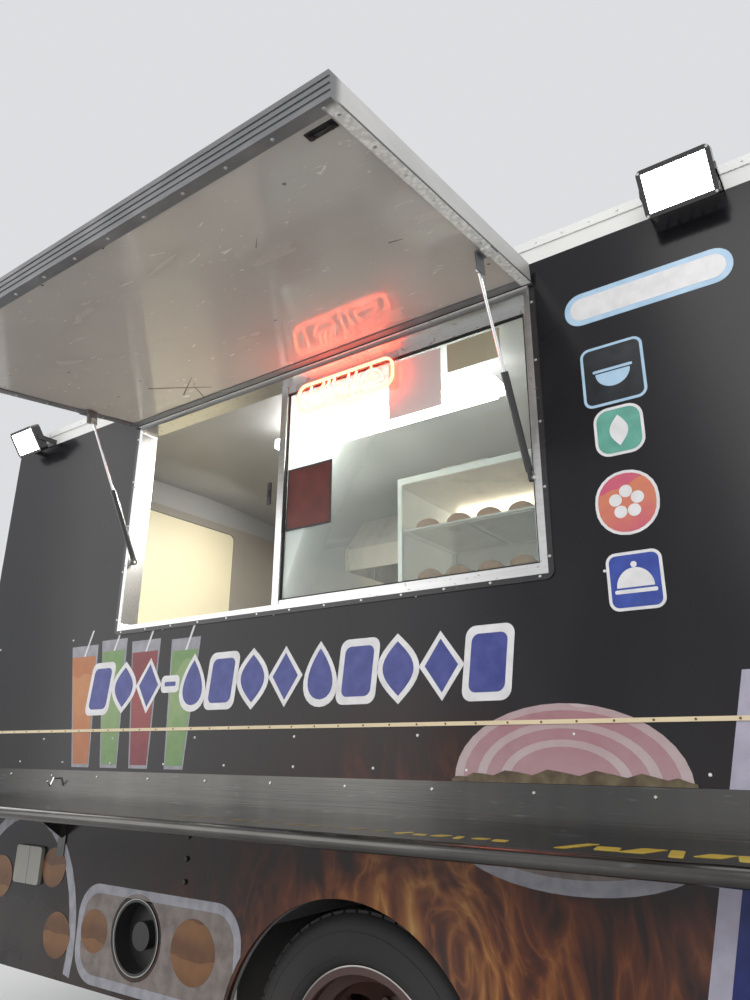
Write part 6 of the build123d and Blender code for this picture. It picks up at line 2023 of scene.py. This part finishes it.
@dataclass
class Cab(Assembly):
    """Doors, stuffed seat, dials and fittings of the cab."""

    looks = {
        Wrap("door_wrap", inside_y=1.08): ("cab_door_street", "cab_door_kerb"),
        CLEAR_GLASS: ("cab_door_glass_street", "cab_door_glass_kerb"),
        CAB_TRIM: ("dashboard", "engine_cover"),
        FittingPaint("fitting_paint"): ("side_fittings",),
        BLACK_PAINT: ("flood_lamps",),
        SEAT_VINYL: ("driver_seat",),
    }
    seat: Point = (3.230, 0.620, 1.180)
    lean: float = 8.0
    voxel: float = 0.008
    dash_x: float = 4.465
    dash_z: float = 1.345
    dash_slope: Pair = (0.9487, 0.3162)

    def stuff(self, size: Point, matrix: Matrix, cap: float) -> bpy.types.Mesh:
        """Swells a rounded box with Cloth pressure.

        Args:
            size: Size of the box before it swells.
            matrix: Where the box goes.
            cap: How far a point may move.

        Returns:
            The stuffed mesh.
        """
        part = bmesh.new()
        bmesh.ops.create_cube(part, size=1.0)
        bmesh.ops.transform(part, matrix=Matrix.Diagonal((*size, 1.0)), verts=part.verts)
        bmesh.ops.bevel(part, geom=part.edges[:], offset=min(size) * 0.34, segments=4,
                        affect="EDGES", profile=0.5)
        bmesh.ops.transform(part, matrix=matrix, verts=part.verts)
        host = placed("stuffing", to_mesh("stuffing", part))
        remesh = host.modifiers.new("remesh", "REMESH")
        remesh.mode = "VOXEL"
        remesh.voxel_size = self.voxel
        even = baked(host)
        start = [vert.co.copy() for vert in even.vertices]
        host.data = even
        cloth = host.modifiers.new("cloth", "CLOTH")
        cloth.settings.use_pressure = True
        cloth.settings.uniform_pressure_force = 4.0
        cloth.settings.effector_weights.gravity = 0.0
        for frame in range(1, 21):
            bpy.context.scene.frame_set(frame)
        even = baked(host)
        bpy.context.scene.frame_set(1)
        for vert, before in zip(even.vertices, start):
            move = vert.co - before
            if move.length > cap:
                vert.co = before + move.normalized() * cap
        bpy.data.objects.remove(host)
        even.polygons.foreach_set("use_smooth", [True] * len(even.polygons))
        return even

    def seat_pads(self) -> None:
        """Cushion, back and headrest, each a stuffed pad, on a plain base."""
        x, y, z = self.seat
        turn = Matrix.Rotation(math.radians(-self.lean), 4, "Y")
        rows = (("seat_cushion", (0.468, 0.428, 0.098), (0.240, 0.057), Matrix.Identity(4), 0.012),
                ("seat_back", (0.098, 0.428, 0.588), (0.010, 0.370), turn, 0.012),
                ("seat_headrest", (0.075, 0.250, 0.160), (-0.050, 0.730), turn, 0.008))
        for name, size, (ahead, up), tilt, cap in rows:
            piece = self.shop.piece(name)
            matrix = Matrix.Translation((x + ahead, y, z + up)) @ tilt
            piece.add_mesh(self.stuff(size, matrix, cap), SEAT_VINYL)
            made = piece.done("seat_vinyl", replaces=("driver_seat",), flat_angle=None)
            finer = made.modifiers.new("finer", "SUBSURF")
            finer.levels = finer.render_levels = 1
        piece = self.shop.piece("seat_base")
        piece.block((x + 0.060, y - 0.150, 0.8003), (x + 0.330, y + 0.150, z + 0.004), BLACK_PLASTIC,
                    bevel=0.012)
        for post in (y - 0.060, y + 0.060):
            piece.rod((x - 0.030, post, z + 0.600), (x - 0.046, post, z + 0.700), 0.006, ZINC, 12)
        piece.done("cab_plastic")

    def dials(self) -> None:
        """Three round dials with ticks and needles on the dash's brow."""
        piece = self.shop.piece("dash_dials")
        steep, flat = self.dash_slope
        normal, up, side = Vector((-steep, 0.0, flat)), Vector((flat, 0.0, steep)), Vector((0.0, 1.0, 0.0))
        for y, radius in ((0.520, 0.034), (0.620, 0.042), (0.720, 0.034)):
            centre = Vector((self.dash_x, y, self.dash_z)) + normal * 0.0003
            piece.lathe([(0.0005, 0.0), (radius, 0.0), (radius, 0.006), (radius - 0.004, 0.006),
                         (radius - 0.006, 0.002), (0.0005, 0.002)], centre, normal, BLACK_PLASTIC, 32)
            for tick in range(9):
                angle = math.radians(-120 + 30 * tick)
                way = up * math.cos(angle) + side * math.sin(angle)
                ends = (centre + way * (radius - d) + normal * 0.0024 for d in (0.014, 0.008))
                piece.rod(*ends, 0.0008, WHITE_TICKS_AND_PAINTED_GLINTS, 6)
            tip = centre + (up * 0.8 + side * 0.6) * (radius - 0.012) + normal * 0.0036
            piece.rod(centre + normal * 0.0036, tip, 0.0010, RED_SHEET, 6)
        piece.done("cab_plastic")

    def add(self) -> None:
        """Adds the seat and the dials."""
        self.seat_pads()
        self.dials()


@dataclass
class Studio(Assembly):
    """Pale floor, soft lights and the camera."""

    camera_place: Point = (1.419, -3.050, 1.240)
    yaw: float = -35.253
    pitch: float = 18.890
    roll: float = -0.378
    lens: float = 26.70
    floor_half: float = 60.0
    warm: Colour = (1.0, 0.96, 0.88)
    cool: Colour = (1.0, 0.98, 0.95)

    def floor(self) -> None:
        """Large pale floor, which shines a little where the eye sees it far from the truck."""
        size = self.floor_half
        mesh = bpy.data.meshes.new("studio_floor")
        mesh.from_pydata([(-size, -size, 0.0), (size, -size, 0.0), (size, size, 0.0), (-size, size, 0.0)],
                         [], [(0, 1, 2, 3)])
        made = placed("studio_floor", mesh)
        shader = Shader("pale_floor", self.shop.place)
        far = (shader.x * shader.x + shader.y * shader.y).math("SQRT").ramp(4.5, 13.0) * shader.seen()
        mesh.materials.append(shader.finish(shader.surface(
            Base_Color=shader.mix(shader.noise(0.8), (0.60, 0.60, 0.59), (0.66, 0.66, 0.65)),
            Roughness=0.7, Emission_Strength=1.0,
            Emission_Color=shader.mix(far, (0.0, 0.0, 0.0), (0.33, 0.335, 0.345)))))

    def world(self) -> None:
        """Plain pale surroundings, one shade for the light and one for the eye."""
        world = bpy.data.worlds.new("studio")
        bpy.context.scene.world = world
        world.use_nodes = True
        graph = Graph(world.node_tree)
        graph.tree.nodes.clear()
        light, seen = (
            graph.node("ShaderNodeBackground", None, {"Color": colour, "Strength": strength})
            for colour, strength in (((0.80, 0.83, 0.88), 0.72), ((0.72, 0.73, 0.75), 1.0)))
        mix = graph.node("ShaderNodeMixShader", None, {0: graph.seen(), 1: light, 2: seen})
        graph.feed(graph.tree.nodes.new("ShaderNodeOutputWorld").inputs["Surface"], mix)

    def lamp(self, name: str, place: Point, target: Point, size: Pair, power: float,
             colour: Colour) -> None:
        """Adds one soft area light.

        Args:
            name: Name of the light.
            place: Where it stands.
            target: Where it points.
            size: Its length and its width.
            power: Its watts.
            colour: Its colour.
        """
        data = bpy.data.lights.new(name, "AREA")
        data.size = size[0]
        if size[0] != size[1]:
            data.shape = "RECTANGLE"
            data.size_y = size[1]
        data.energy = power
        data.color = colour
        made = placed(name, data)
        made.location = Vector(place) + self.shop.place.offset
        made.rotation_euler = (Vector(target) - Vector(place)).to_track_quat("-Z", "Y").to_euler()

    def lamps(self) -> None:
        """Soft lights round the truck, and warm ones in its kitchen."""
        rows = (
            ("key", (2.5, -7.5, 5.0), (0.2, -1.2, 1.4), (5.0, 5.0), 260.0, self.cool),
            ("fill", (-5.5, -6.5, 3.0), (0.0, -1.2, 1.6), (5.0, 5.0), 120.0, self.cool),
            ("street_fill", (2.0, 8.0, 5.0), (0.5, 1.0, 1.5), (6.0, 6.0), 260.0, self.cool),
            ("front_fill", (10.5, 0.0, 4.5), (3.5, 0.0, 1.5), (5.0, 5.0), 180.0, self.cool),
            ("rear_fill", (-8.5, 0.0, 4.0), (-2.2, 0.0, 1.5), (5.0, 5.0), 150.0, self.cool),
            ("top", (0.5, 0.0, 9.0), (0.5, 0.0, 2.0), (7.0, 7.0), 200.0, self.cool),
            ("kitchen_light", (-0.375, -0.470, 2.664), (-0.375, -0.470, 0.0), (1.20, 0.11), 68.0,
             self.warm),
            ("rear_light", (-1.55, 0.0, 2.62), (-2.17, -0.05, 1.9), (0.3, 0.3), 4.5, self.warm),
            ("cabinet_light", (0.37, -0.84, 2.100), (0.37, -0.84, 0.0), (0.40, 0.08), 8.0, self.warm))
        for row in rows:
            self.lamp(*row)

    def camera(self) -> None:
        """Camera at the photograph's calibrated place and angle."""
        yaw, pitch, roll = (math.radians(v) for v in (self.yaw, self.pitch, self.roll))
        level = math.cos(pitch)
        forward = Vector((math.sin(yaw) * level, math.cos(yaw) * level, math.sin(pitch)))
        right = Vector((math.cos(yaw), -math.sin(yaw), 0.0))
        down = forward.cross(right)
        across = right * math.cos(roll) + down * math.sin(roll)
        below = down * math.cos(roll) - right * math.sin(roll)
        data = bpy.data.cameras.new("photo_view")
        data.lens = self.lens
        data.sensor_width = 36.0
        data.sensor_fit = "AUTO"
        data.clip_end = 200.0
        made = placed("photo_view", data)
        turn = Matrix((across, -below, -forward)).transposed().to_4x4()
        made.matrix_world = Matrix.Translation(Vector(self.camera_place) + self.shop.place.offset) @ turn
        bpy.context.scene.camera = made

    def add(self) -> None:
        """Sets up the floor, the surroundings, the lights and the camera."""
        bpy.context.scene.view_settings.view_transform = "Standard"
        self.floor()
        self.world()
        self.lamps()
        self.camera()


def main() -> None:
    """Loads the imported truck, dresses it and sets up the studio."""
    logging.basicConfig(level=logging.INFO, format="%(message)s")
    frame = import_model()
    shop = Workshop(Place.from_frame(), frame["nodes"])
    for assembly in (Studio, BodyShell, KerbPrints, Awning, ServingWindow, Shelf, Kitchen, Chassis, Cab):
        assembly(shop).build()
    for side, sign in (("left", 1.0), ("right", -1.0)):
        Wheel(shop, f"front_{side}_wheel", f"front_wheel_{side}", f"front_tyre_{side}", 3.990,
              (sign * 1.000,)).build()
        Wheel(shop, f"rear_{side}_wheels", f"rear_wheels_{side}", f"rear_tyres_{side}", 0.0,
              (sign * 1.000, sign * 0.734)).build()


if __name__ == "__main__":
    main()
